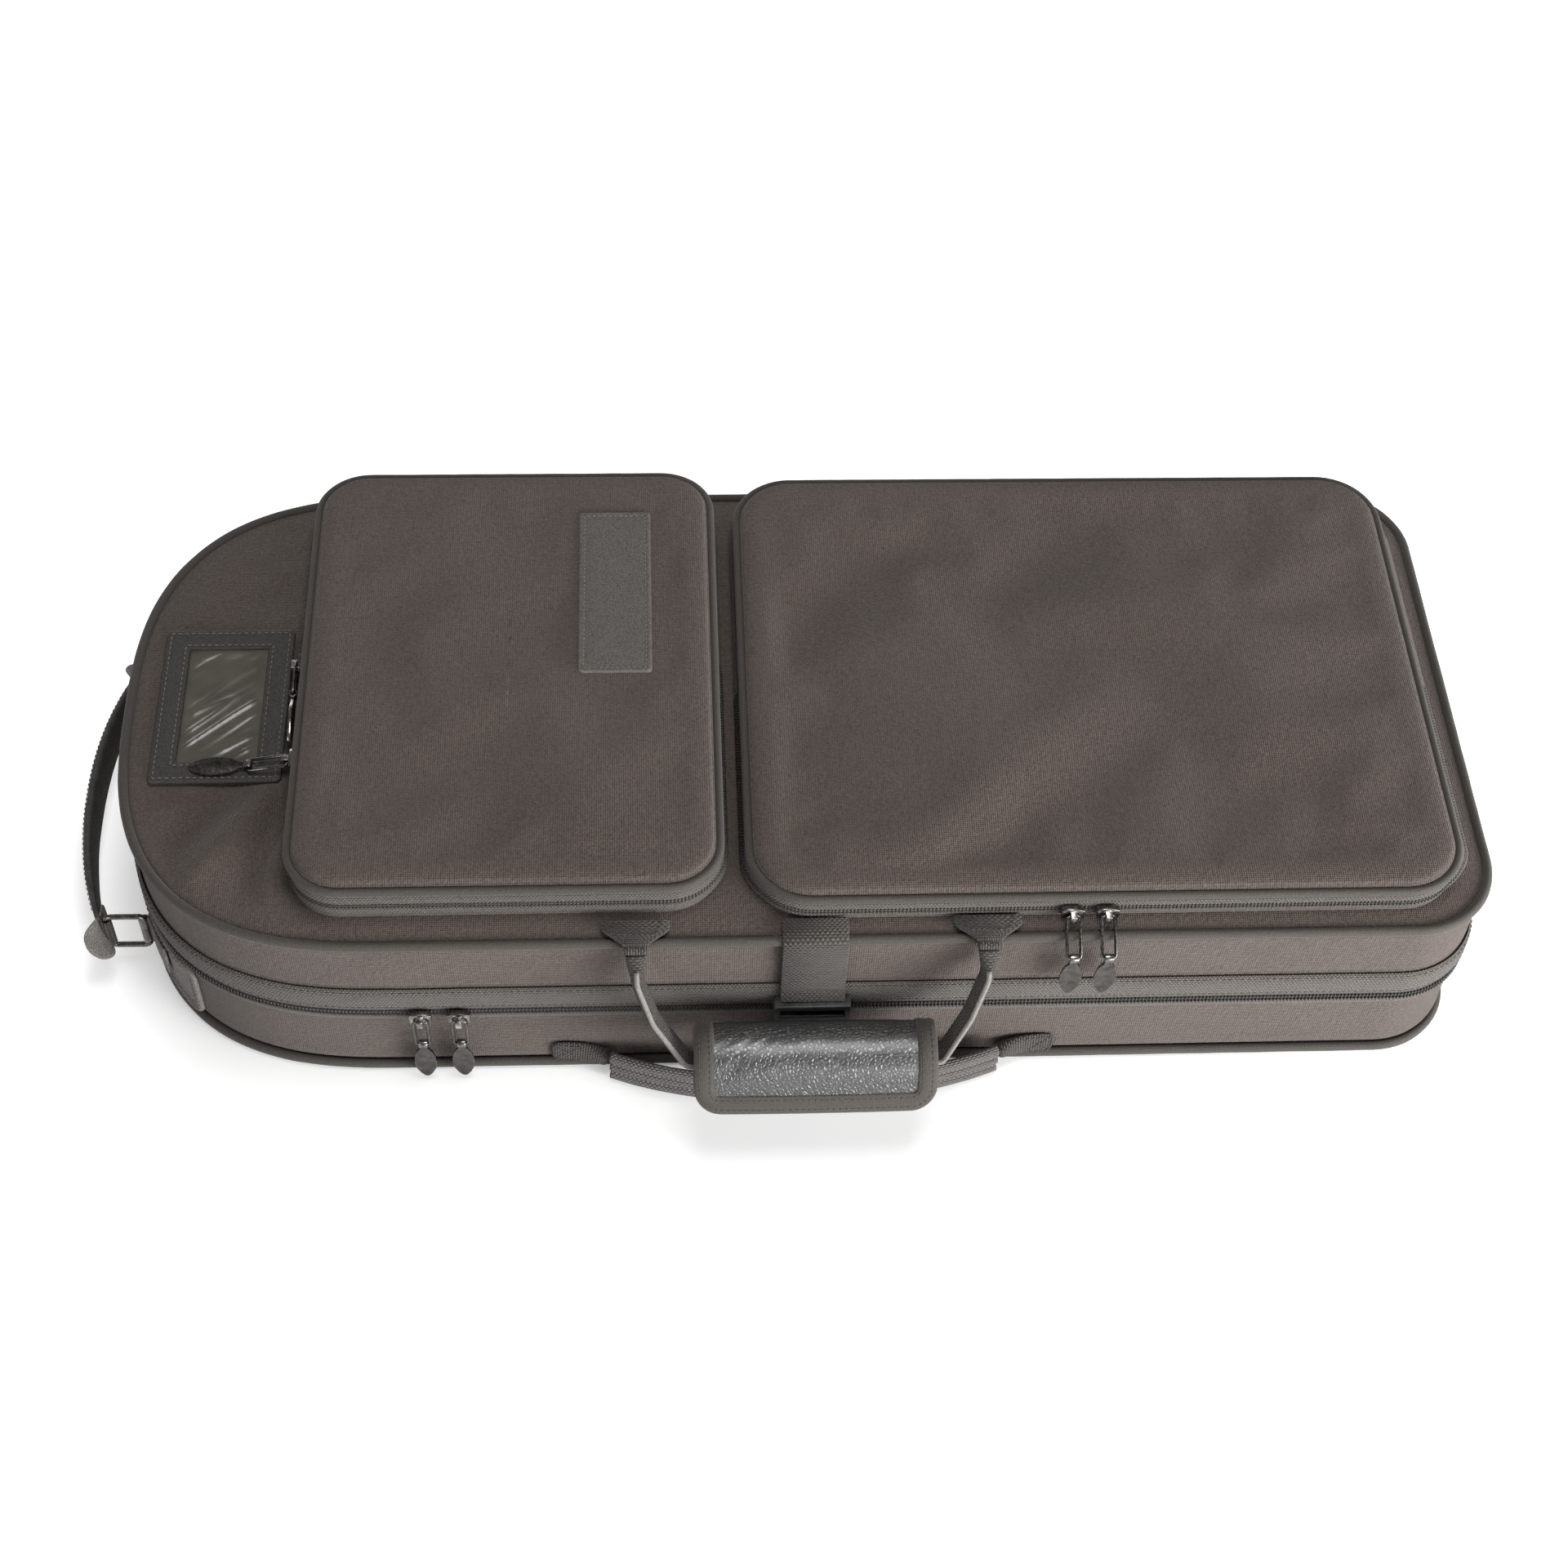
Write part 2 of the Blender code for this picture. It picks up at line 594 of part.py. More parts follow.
def build_window(looks):
    """Leather frame stitched to the lid, with a clear sheet over the name card."""
    plan = box_plan(WINDOW_LEFT, WINDOW_LEFT + WINDOW_WIDTH, -WINDOW_LENGTH / 2, WINDOW_LENGTH / 2,
                    WINDOW_RADIUS, steps=2)
    frame_top = SURFACE + FRAME_THICKNESS
    frame = plan_ring("id_frame", looks["leather"], plan, [
        (0, SURFACE), (0, frame_top), (WINDOW_BORDER, frame_top), (WINDOW_BORDER, SURFACE)])
    sheet_inset = WINDOW_BORDER + CLEARANCE
    sheet = plan_body("id_window", looks["vinyl"], plan, [
        (sheet_inset, SURFACE), (sheet_inset, SURFACE + SHEET_THICKNESS)])
    return [frame, sheet]


def build_label(looks):
    """The bare leather patch on the small pocket's cover."""
    low = CASE_HEIGHT + SMALL_POCKET_HEIGHT + CLEARANCE
    plan = box_plan(LABEL_LEFT, LABEL_LEFT + LABEL_WIDTH, LABEL_FRONT, LABEL_FRONT + LABEL_LENGTH,
                    LABEL_RADIUS, steps=2)
    return plan_body("label_patch", looks["leather"], plan, [
        (0, low), (0, low + LABEL_THICKNESS / 2), (LABEL_THICKNESS / 2, low + LABEL_THICKNESS)])


def pocket_zip_face():
    """Y in front of the large pocket's zip, where pieces on the lid's front edge may begin."""
    return LARGE_POCKET_FRONT - POCKET_COIL_PROUD - 2 * CLEARANCE


def handle_pivot():
    return FRONT - HANDLE_PIVOT_OUT, CASE_HEIGHT - HANDLE_PIVOT_DROP


def ribbon(name, material, centre, path, widths, thicknesses):
    """A flat strap across X whose middle follows a path of (y, z) points."""
    sections = []
    for index, (y, z) in enumerate(path):
        before = Vector(path[max(index - 1, 0)])
        after = Vector(path[min(index + 1, len(path) - 1)])
        along = (after - before).normalized()
        half = widths[index] / 2
        side = Vector((-along.y, along.x)) * thicknesses[index] / 2
        sections.append([
            (centre - half, y - side.x, z - side.y), (centre + half, y - side.x, z - side.y),
            (centre + half, y + side.x, z + side.y), (centre - half, y + side.x, z + side.y)])
    return loft(name, material, sections)


def build_anchor(name, material, centre):
    """A triangular webbing tab on the lid's front edge, ending in the roll that the strap turns on."""
    pivot = handle_pivot()
    start = min(FRONT + ANCHOR_REACH, pocket_zip_face())
    height = SURFACE + ANCHOR_THICKNESS / 2
    tip = ANCHOR_TIP_WIDTH - 2 * CLEARANCE
    middle = (ANCHOR_WIDTH + ANCHOR_TIP_WIDTH) / 2
    thin = ANCHOR_THICKNESS
    anchor = ribbon(name, material, centre, [(start, height), (FRONT, height), pivot],
                    [ANCHOR_WIDTH, middle, tip], [thin, thin, thin])
    half = ANCHOR_TIP_WIDTH / 2
    roll = rod(ANCHOR_ROLL_RADIUS, (centre - half, *pivot), (centre + half, *pivot))
    combine(anchor, roll, "UNION")
    return anchor


def handle_frame():
    """The pivot, the direction down to the grip and the depth direction of the carry handle."""
    pivot = Vector((0, *handle_pivot()))
    grip = Vector((0, FRONT - GRIP_OUT, GRIP_HEIGHT))
    down = (grip - pivot).normalized()
    return pivot, down, Vector((0, -down.z, down.y)), (grip - pivot).length


def build_carry_strap(material):
    """Folded webbing from one anchor through the grip to the other."""
    pivot, down, deep, reach = handle_frame()
    root = ANCHOR_ROLL_RADIUS + CLEARANCE
    left_bend = GRIP_LEFT - GRIP_END_BEND
    right_bend = GRIP_RIGHT + GRIP_END_BEND
    path = [(HANDLE_LEFT, root), (HANDLE_LEFT, root + STRAP_ROOT_LENGTH), (left_bend, reach),
            (right_bend, reach), (HANDLE_RIGHT, root + STRAP_ROOT_LENGTH), (HANDLE_RIGHT, root)]
    last = len(path) - 1
    sections = []
    for index, (across, along) in enumerate(path):
        here = Vector((across, along))
        leaving = Vector(path[min(index + 1, last)]) - here
        coming = here - Vector(path[max(index - 1, 0)])
        way = coming.normalized() + leaving.normalized()
        side = Vector((-way.y, way.x)).normalized()
        bend = max(side.dot(Vector((-leaving.y, leaving.x)).normalized()), 0.5) if leaving.length else 1
        at_root = index in (0, last)
        half = (STRAP_ROOT_WIDTH if at_root else STRAP_THICKNESS / bend) / 2
        depth = (STRAP_ROOT_DEPTH if at_root else STRAP_DEPTH) / 2
        corners = []
        for across_sign, deep_sign in ((-1, -1), (1, -1), (1, 1), (-1, 1)):
            flat = here + side * half * across_sign
            corners.append(pivot + Vector((flat.x, 0, 0)) + down * flat.y + deep * depth * deep_sign)
        sections.append(corners)
    return loft("carry_strap", material, sections)


def build_grip(material):
    """The leather wrap: a rolled sheet whose free edge ends in a lip at the lower front."""
    middle = Vector((FRONT - GRIP_OUT, GRIP_HEIGHT))
    bore = math.hypot(STRAP_THICKNESS, STRAP_DEPTH) / 2 + CLEARANCE
    lip_angle = math.radians(220)
    outer = []
    inner = []
    for side in range(GRIP_SIDES + 1):
        share = side / GRIP_SIDES
        turn = lip_angle + 2 * math.pi * share
        radius = GRIP_RADIUS - GRIP_LIP * (1 - share)
        outer.append(middle + radius * Vector((math.cos(turn), math.sin(turn))))
        turn = lip_angle + 2 * math.pi * side / (GRIP_SIDES + 1)
        inner.append(middle + bore * Vector((math.cos(turn), math.sin(turn))))
    sections = [[(across, *point) for point in ring] for across, ring in (
        (GRIP_LEFT, outer), (GRIP_RIGHT, outer), (GRIP_RIGHT, inner), (GRIP_LEFT, inner))]
    return loft("handle_grip", material, sections, loop=True)


def lower_pivot():
    return FRONT - LOWER_PIVOT_OUT, LOWER_STRAP_LIFT + LOWER_STRAP_HEIGHT / 2


def lower_strap_plan(inset):
    """The bowed path of the lower strap; a positive inset is towards the case."""
    root = lower_pivot()[0] - LOWER_ROOT_OUT
    points = []
    for step in range(ROUND_END_STEPS + 1):
        share = 2 * step / ROUND_END_STEPS - 1
        across = LOWER_LEFT + (LOWER_RIGHT - LOWER_LEFT) * (share + 1) / 2
        points.append(Vector((across, root - LOWER_STRAP_BOW * (1 - abs(share) ** 2.5))))
    moved = []
    for index, point in enumerate(points):
        way = Vector((1.0, 0.0))
        if 0 < index < len(points) - 1:
            way = (points[index + 1] - points[index - 1]).normalized()
        moved.append((point.x - way.y * inset, point.y + way.x * inset))
    return moved


def build_lower_strap(material):
    """The stiff strap of the base's handle, with three moulded ridges along its outer face."""
    low = LOWER_STRAP_LIFT
    high = low + LOWER_STRAP_HEIGHT
    face = -LOWER_STRAP_THICKNESS / 2
    pitch = LOWER_STRAP_HEIGHT / LOWER_RIDGES
    profile = [(-face, low), (-face, high)]
    for ridge in range(LOWER_RIDGES):
        top = high - pitch * ridge
        profile += [(face, top), (face - LOWER_RIDGE, top - pitch / 4), (face - LOWER_RIDGE, top - 3 * pitch / 4)]
    profile.append((face, low))
    return plan_strip("lower_strap", material, lower_strap_plan, profile)


def build_strap_patch(name, material, end, way):
    """A folded webbing patch on the base wall that narrows to the strap's end; way is -1 or +1 in X."""
    near = FRONT - CLEARANCE
    low = CORD_STEP + CLEARANCE
    middle = lower_pivot()[1]
    stations = (
        (end + way * (CLEARANCE + PATCH_LENGTH), PATCH_THICKNESS, low, low + PATCH_HEIGHT),
        (end + way * (CLEARANCE + PATCH_ROOT_LENGTH), (PATCH_THICKNESS + PATCH_NOSE) / 2, low, low + PATCH_HEIGHT),
        (end + way * CLEARANCE, PATCH_NOSE, middle - PATCH_NOSE_HEIGHT / 2, middle + PATCH_NOSE_HEIGHT / 2))
    sections = [[(x, near, bottom), (x, near - out, bottom), (x, near - out, top), (x, near, top)]
                for x, out, bottom, top in stations]
    return loft(name, material, sections)


def build_buckle(looks):
    """Side-release buckle: the socket on its webbing, and the plug with two prongs and a guide."""
    left = CLOSING_CENTRE - BUCKLE_WIDTH / 2
    right = CLOSING_CENTRE + BUCKLE_WIDTH / 2
    tab_back = FRONT - CLEARANCE
    tab_face = tab_back - BUCKLE_TAB_THICKNESS
    half_tab = BUCKLE_TAB_WIDTH / 2
    tab = block((CLOSING_CENTRE - half_tab, tab_face, BUCKLE_TAB_LOW),
                (CLOSING_CENTRE + half_tab, tab_back, BUCKLE_TAB_LOW + BUCKLE_TAB_HEIGHT))
    add_object("buckle_tab", finish_mesh("buckle_tab", tab), looks["webbing"])

    back = tab_face - CLEARANCE
    face = back - SOCKET_DEPTH
    middle = (back + face) / 2
    mouth = SOCKET_LIFT + SOCKET_HEIGHT
    shell = block((left, face, SOCKET_LIFT), (right, back, mouth))
    socket = add_object("buckle_socket", finish_mesh("buckle_socket", shell), looks["plastic"])
    floor = SOCKET_LIFT + SOCKET_FLOOR
    combine(socket, block((left + SOCKET_WALL, face + SOCKET_WALL, floor),
                          (right - SOCKET_WALL, back - SOCKET_WALL, mouth + CUT_OVERRUN)), "DIFFERENCE")
    window_low = floor + SOCKET_FLOOR
    combine(socket, block((left - CUT_OVERRUN, middle - SOCKET_WINDOW_DEPTH / 2, window_low),
                          (right + CUT_OVERRUN, middle + SOCKET_WINDOW_DEPTH / 2,
                           window_low + SOCKET_WINDOW_HEIGHT)), "DIFFERENCE")

    seat = mouth + CLEARANCE
    top = seat + PLUG_SHOULDER_HEIGHT
    half_depth = PLUG_DEPTH / 2
    shoulder = block((left, middle - half_depth, seat), (right, middle + half_depth, top))
    plug = add_object("buckle_plug", finish_mesh("buckle_plug", shoulder), looks["plastic"])
    slot_top = top - PLUG_BAR_HEIGHT
    combine(plug, block((CLOSING_CENTRE - CLOSING_WIDTH / 2, middle - CUT_OVERRUN, slot_top - PLUG_SLOT_HEIGHT),
                        (CLOSING_CENTRE + CLOSING_WIDTH / 2, middle + CUT_OVERRUN, slot_top)), "DIFFERENCE")
    root = seat + SOCKET_WALL
    inner = BUCKLE_WIDTH / 2 - SOCKET_WALL - CLEARANCE
    for start, end, length in (
            (-inner, PRONG_WIDTH - inner, PRONG_LENGTH), (inner - PRONG_WIDTH, inner, PRONG_LENGTH),
            (-GUIDE_WIDTH / 2, GUIDE_WIDTH / 2, GUIDE_LENGTH)):
        prong = block((CLOSING_CENTRE + start, middle - PRONG_DEPTH / 2, seat - length),
                      (CLOSING_CENTRE + end, middle + PRONG_DEPTH / 2, root))
        combine(plug, prong, "UNION")
    strap = build_closing_strap(looks["webbing"], middle, top)
    return plug, strap


def build_closing_strap(material, bar, top):
    """The webbing from under the large pocket, over the lid's edge and down to the buckle's bar."""
    out = FRONT - CASE_CORD_RADIUS - CLEARANCE - CLOSING_THICKNESS / 2
    height = SURFACE + CLOSING_THICKNESS / 2
    path = [(pocket_zip_face(), height), (FRONT + CORD_SEAT, height),
            (out - CLEARANCE, LID_CORD_HEIGHT + CASE_CORD_RADIUS), (out, LID_CORD_HEIGHT - CORD_STEP),
            (out, top + CLOSING_TUCK), (bar, top + CLEARANCE + CLOSING_THICKNESS / 2)]
    count = len(path)
    return ribbon("closing_strap", material, CLOSING_CENTRE, path, [CLOSING_WIDTH] * count,
                  [CLOSING_THICKNESS] * count)


def wire_loop(shape_plan, place, radius):
    """A closed wire loop: its path is a flat list of (u, v), and place puts (u, w, v) in the model."""
    sections = []
    count = len(shape_plan)
    for index, point in enumerate(shape_plan):
        here = Vector(point)
        coming = (here - Vector(shape_plan[index - 1])).normalized()
        leaving = (Vector(shape_plan[(index + 1) % count]) - here).normalized()
        way = (coming + leaving).normalized()
        side = Vector((-way.y, way.x))
        section = []
        for corner in range(CORD_SIDES):
            turn = 2 * math.pi * corner / CORD_SIDES
            flat = here + side * radius * math.cos(turn)
            section.append(place @ Vector((flat.x, radius * math.sin(turn), flat.y)))
        sections.append(section)
    return sections


def ring_bar():
    """Where the front ring's inner bar stands: beside the rounded end's wall, outside its patch."""
    side = -RING_SPACING / 2
    wall, outward = round_end_wall(side)
    out = 3 * CLEARANCE + END_PATCH_THICKNESS + LOOP_WALL + RING_WIRE_RADIUS
    return Vector((wall, side, END_HANDLE_HEIGHT)) + outward * out


def loop_tube(bar, clear=0.0):
    """The webbing fold round a ring's bar, or with a clearance the bar's bore through it."""
    half = RING_WINDOW / 2 - CLEARANCE
    radius = RING_WIRE_RADIUS + CLEARANCE + LOOP_WALL
    if clear:
        half += CUT_OVERRUN
        radius = RING_WIRE_RADIUS + clear
    return rod(radius, bar - Vector((0, 0, half)), bar + Vector((0, 0, half)), sides=2 * WIRE_SIDES)


def build_end_handle(looks):
    """Reinforced rounded end with two ring tabs, two rectangular rings and the padded strap."""
    low = CORD_STEP + CLEARANCE
    high = BASE_RIM - BASE_TAPE_HEIGHT - CLEARANCE
    thin = -CLEARANCE - END_PATCH_THICKNESS
    thick = thin - END_PATCH_BORDER_PROUD
    reach_plan = round_end_plan(-END_PATCH_REACH, END_PATCH_REACH, ROUND_END_STEPS)
    plan_strip("end_patch", looks["leather"], reach_plan, [
        (-CLEARANCE, low), (thick, low), (thick, low + END_PATCH_BORDER), (thin, low + END_PATCH_BORDER),
        (thin, high - END_PATCH_BORDER), (thick, high - END_PATCH_BORDER), (thick, high), (-CLEARANCE, high)])

    front_bar = ring_bar()
    rings = []
    for name, side in (("front", 1), ("rear", -1)):
        bar = Vector((front_bar.x, front_bar.y * side, front_bar.z))
        build_ring_tab(f"end_anchor_{name}", looks["webbing"], bar, side)
        half = RING_WINDOW / 2 + RING_WIRE_RADIUS
        rounded = box_plan(-RING_REACH, 0, -half, half, RING_CORNER, steps=3)(0)
        sections = wire_loop(rounded, Matrix.Translation(bar), RING_WIRE_RADIUS)
        rings.append(loft(f"end_ring_{name}", looks["metal"], sections, loop=True))
    return rings, build_end_strap(looks["webbing"], front_bar)


def build_ring_tab(name, material, bar, side):
    """Webbing sewn over the patch, with the fold that the ring's inner bar turns in."""
    half = RING_WINDOW / 2 - CLEARANCE
    near = -2 * CLEARANCE - END_PATCH_THICKNESS
    start = bar.y
    end = bar.y - side * TAB_LENGTH
    tab = plan_strip(name, material, round_end_plan(start, end, WIRE_SIDES), [
        (near, bar.z - half + CLEARANCE), (near - TAB_THICKNESS, bar.z - half + CLEARANCE),
        (near - TAB_THICKNESS, bar.z + half - CLEARANCE), (near, bar.z + half - CLEARANCE)])
    combine(tab, loop_tube(bar), "UNION")
    combine(tab, loop_tube(bar, CLEARANCE), "DIFFERENCE")
    return tab


def build_end_strap(material, front_bar):
    """The padded strap, bowed outwards between the rings, with its folded ends running past them."""
    outer_x = front_bar.x - RING_REACH
    half_span = -front_bar.y
    end_x = outer_x - RING_WIRE_RADIUS - CLEARANCE - END_TONGUE_THICKNESS / 2
    middle_x = LEFT_END - END_STRAP_STANDOFF + END_STRAP_THICKNESS / 2
    window = RING_WINDOW - 2 * CLEARANCE
    sections = []
    for step in range(ROUND_END_STEPS + 1):
        side = (half_span + END_TONGUE) * (2 * step / ROUND_END_STEPS - 1)
        share = abs(side) / half_span
        x = middle_x + (end_x - middle_x) * share ** 2.2
        lean = (end_x - middle_x) * 2.2 * share ** 1.2 / half_span * math.copysign(1, side)
        outward = Vector((-1, lean)).normalized()
        full = max(0.0, min(1.0, (0.88 - share) / 0.12))
        thick = (END_TONGUE_THICKNESS + (END_STRAP_THICKNESS - END_TONGUE_THICKNESS) * full) / 2
        tall = (window + (END_STRAP_HEIGHT - window) * full) / 2
        inner = (x - outward.x * thick, side - outward.y * thick)
        outer = (x + outward.x * thick, side + outward.y * thick)
        sections.append([(*inner, front_bar.z - tall), (*outer, front_bar.z - tall),
                         (*outer, front_bar.z + tall), (*inner, front_bar.z + tall)])
    strap = loft("end_strap", material, sections)
    for side in (1, -1):
        combine(strap, loop_tube(Vector((outer_x, front_bar.y * side, front_bar.z))), "UNION")
    for side in (1, -1):
        bore = loop_tube(Vector((outer_x, front_bar.y * side, front_bar.z)), CLEARANCE)
        combine(strap, bore, "DIFFERENCE")
    return strap


def baked(name, shape, changes):
    """Make a shape, combine it with others and keep the result as one mesh that copies can share."""
    piece = bpy.data.objects.new(name, finish_mesh(name, shape, smooth=False))
    bpy.context.collection.objects.link(piece)
    for change, operation in changes:
        combine(piece, change, operation)
    graph = bpy.context.evaluated_depsgraph_get()
    mesh = bpy.data.meshes.new_from_object(piece.evaluated_get(graph))
    for modifier in list(piece.modifiers):
        bpy.data.objects.remove(modifier.object, do_unlink=True)
    bpy.data.objects.remove(piece, do_unlink=True)
    mesh.shade_smooth()
    mesh.set_sharp_from_angle(angle=math.radians(35))
    return mesh


def slider_face():
    """How far the link's bar stands off a slider's inner face."""
    return SLIDER_THICKNESS + CLEARANCE + LINK_WIRE_RADIUS


def slider_mesh(name, along_x, along_z):
    """A slider body with its crown; the link's bar lies on X through the origin and -Y is outwards."""
    back = slider_face()
    face = back - SLIDER_THICKNESS
    waist = SLIDER_WAIST_SHARE / 2
    quarter = along_x / 4
    outline = [(-along_x / 2, -along_z * waist), (-quarter, -along_z / 2), (quarter, -along_z / 2),
               (along_x / 2, -along_z * waist), (along_x / 2, along_z * waist), (quarter, along_z / 2),
               (-quarter, along_z / 2), (-along_x / 2, along_z * waist)]
    tunnel = LINK_WIRE_RADIUS + CLEARANCE
    crown = tunnel + CROWN_WALL
    foot = face + CLEARANCE
    arch = [(foot, -crown), (-crown, -crown), (-crown, crown), (foot, crown), (foot, tunnel),
            (-tunnel, tunnel), (-tunnel, -tunnel), (foot, -tunnel)]
    bridge = prism(arch, "X", -CROWN_WIDTH / 2, CROWN_WIDTH / 2)
    return baked(name, prism(outline, "Y", face, back), [(bridge, "UNION")])


def link_mesh():
    """A rectangular wire link hanging from its top bar at the origin."""
    half = LINK_WIDTH / 2 - LINK_WIRE_RADIUS
    rounded = box_plan(-half, half, -LINK_LENGTH, 0, LINK_CORNER, steps=2)(0)
    sections = wire_loop(rounded, Matrix.Identity(4), LINK_WIRE_RADIUS)
    guide = loft("link", make_material("guide", (0.5, 0.5, 0.5), 0.5), sections, loop=True)
    mesh = guide.data
    bpy.data.objects.remove(guide, do_unlink=True)
    return mesh


LEAF_SHARES = ((0.0, 0.42), (0.12, 0.74), (0.30, 0.94), (0.50, 1.0), (0.70, 0.88), (0.86, 0.58), (0.96, 0.28))


def tag_mesh():
    """A leaf-shaped pull tag with a rolled eye round the link's lower bar at the origin."""
    leaf_length = TAG_LENGTH - TAG_NECK_LENGTH
    eye_half = LINK_WIDTH / 2 - 2 * LINK_WIRE_RADIUS - CLEARANCE
    right = [(eye_half - CLEARANCE, 0), (eye_half - CLEARANCE, -TAG_NECK_LENGTH * 0.8)]
    right += [(TAG_WIDTH / 2 * across, -TAG_NECK_LENGTH - leaf_length * along) for along, across in LEAF_SHARES[1:]]
    outline = right + [(0, -TAG_LENGTH)] + [(-x, z) for x, z in reversed(right)]
    plate = prism(outline, "Y", -TAG_THICKNESS / 2, TAG_THICKNESS / 2)
    eye = rod(TAG_EYE_RADIUS, (-eye_half, 0, 0), (eye_half, 0, 0), sides=2 * WIRE_SIDES)
    bore = rod(LINK_WIRE_RADIUS + CLEARANCE, (-eye_half - CUT_OVERRUN, 0, 0), (eye_half + CUT_OVERRUN, 0, 0))
    return baked("tag", plate, [(eye, "UNION"), (bore, "DIFFERENCE")])


def frame_matrix(place, bar, hang):
    """A turn and place: X along the link's bar, -Z the way it hangs."""
    up = -Vector(hang)
    across = Vector(bar)
    back = up.cross(across)
    return Matrix.Translation(place) @ Matrix((across, back, up)).transposed().to_4x4()


def leaning(outward, tilt):
    """A hanging direction, tilted outwards from straight down."""
    return Vector(outward) * math.sin(tilt) - Vector((0, 0, 1)) * math.cos(tilt)


def build_zip_pull(name, meshes, metal, place, outward, bar, link_hang, tag_hang, turned=False):
    """One slider with its link and tag; place is the middle of the link's upper bar."""
    slider_way = Vector(bar).cross(Vector(outward))
    slider = add_shared(f"{name}_slider", meshes["turned" if turned else "slider"], metal)
    slider.matrix_world = frame_matrix(place, bar, slider_way)
    link_pivot = hinge_empty(f"{name}_link_pivot", place)
    link = add_shared(f"{name}_link", meshes["link"], metal)
    link.matrix_world = frame_matrix(place, bar, link_hang)
    carry(link_pivot, [link])
    lower = Vector(place) + Vector(link_hang) * LINK_LENGTH
    tag_pivot = hinge_empty(f"{name}_tag_pivot", lower)
    tag = add_shared(f"{name}_tag", meshes["tag"], metal)
    tag.matrix_world = frame_matrix(lower, bar, tag_hang)
    carry(tag_pivot, [tag])


def add_shared(name, mesh, material):
    if not mesh.materials:
        mesh.materials.append(material)
    piece = bpy.data.objects.new(name, mesh)
    bpy.context.collection.objects.link(piece)
    return piece


def build_zip_pulls(looks):
    meshes = {
        "slider": slider_mesh("slider", SLIDER_LENGTH, SLIDER_WIDTH),
        "turned": slider_mesh("turned", SLIDER_WIDTH, SLIDER_LENGTH),
        "link": link_mesh(),
        "tag": tag_mesh(),
    }
    for mesh in meshes.values():
        mesh.materials.clear()
    metal = looks["metal"]
    front = Vector((0, -1, 0))
    down = Vector((0, 0, -1))
    across = Vector((1, 0, 0))
    main_y = FRONT - COIL_FACE - CLEARANCE - slider_face()
    for name, x in (("main_zip_left", MAIN_SLIDER_LEFT), ("main_zip_right", MAIN_SLIDER_RIGHT)):
        build_zip_pull(name, meshes, metal, (x, main_y, JOIN_HEIGHT), front, across, down, down)
    pocket_out = POCKET_COIL_PROUD + 2 * CLEARANCE + slider_face()
    large_seam = CASE_HEIGHT + LARGE_ZIP_HEIGHT
    large_hang = leaning(front, LARGE_LINK_TILT)
    for name, x in (("large_zip_left", LARGE_SLIDER_LEFT), ("large_zip_right", LARGE_SLIDER_RIGHT)):
        place = (x, LARGE_POCKET_FRONT - pocket_out, large_seam)
        build_zip_pull(name, meshes, metal, place, front, across, large_hang, down)
    left = Vector((-1, 0, 0))
    small_x = SMALL_POCKET_LEFT - pocket_out
    small_seam = CASE_HEIGHT + SMALL_ZIP_HEIGHT
    link_end = SURFACE + FRAME_THICKNESS + CLEARANCE + TAG_EYE_RADIUS
    tilt = math.acos((small_seam - link_end) / LINK_LENGTH)
    tag_fall = link_end - SURFACE - FRAME_THICKNESS - 2 * CLEARANCE - TAG_THICKNESS / 2
    tag_tilt = math.acos(tag_fall / TAG_LENGTH)
    build_zip_pull("small_zip_front", meshes, metal, (small_x, SMALL_SLIDER_FRONT, small_seam), left,
                   (0, -1, 0), leaning(left, tilt), leaning(left, tag_tilt))
    along = Vector((0, -1, 0))
    build_zip_pull("small_zip_rear", meshes, metal, (small_x, SMALL_SLIDER_REAR, small_seam), left,
                   (0, 0, 1), along, along, turned=True)


def make_looks():
    return {
        "fabric": make_material("brown_grey_nylon", (0.085, 0.074, 0.068), 0.85),
        "piping": make_material("grey_piping", (0.055, 0.055, 0.048), 0.7),
        "tape": make_material("ribbed_tape", (0.070, 0.069, 0.060), 0.8),
        "webbing": make_material("grey_webbing", (0.060, 0.057, 0.050), 0.8),
        "leather": make_material("dark_leather", (0.052, 0.048, 0.042), 0.55),
        "grip": make_material("black_leather", (0.015, 0.016, 0.018), 0.35),
        "foam": make_material("lined_foam", (0.030, 0.028, 0.032), 0.95),
        "lining": make_material("plush_lining", (0.035, 0.032, 0.037), 0.95),
        "plastic": make_material("black_acetal", (0.014, 0.014, 0.015), 0.4),
        "vinyl": make_material("clear_vinyl", (0.33, 0.29, 0.25), 0.15),
        "metal": make_material("gunmetal", (0.26, 0.25, 0.24), 0.3, 1.0),
    }


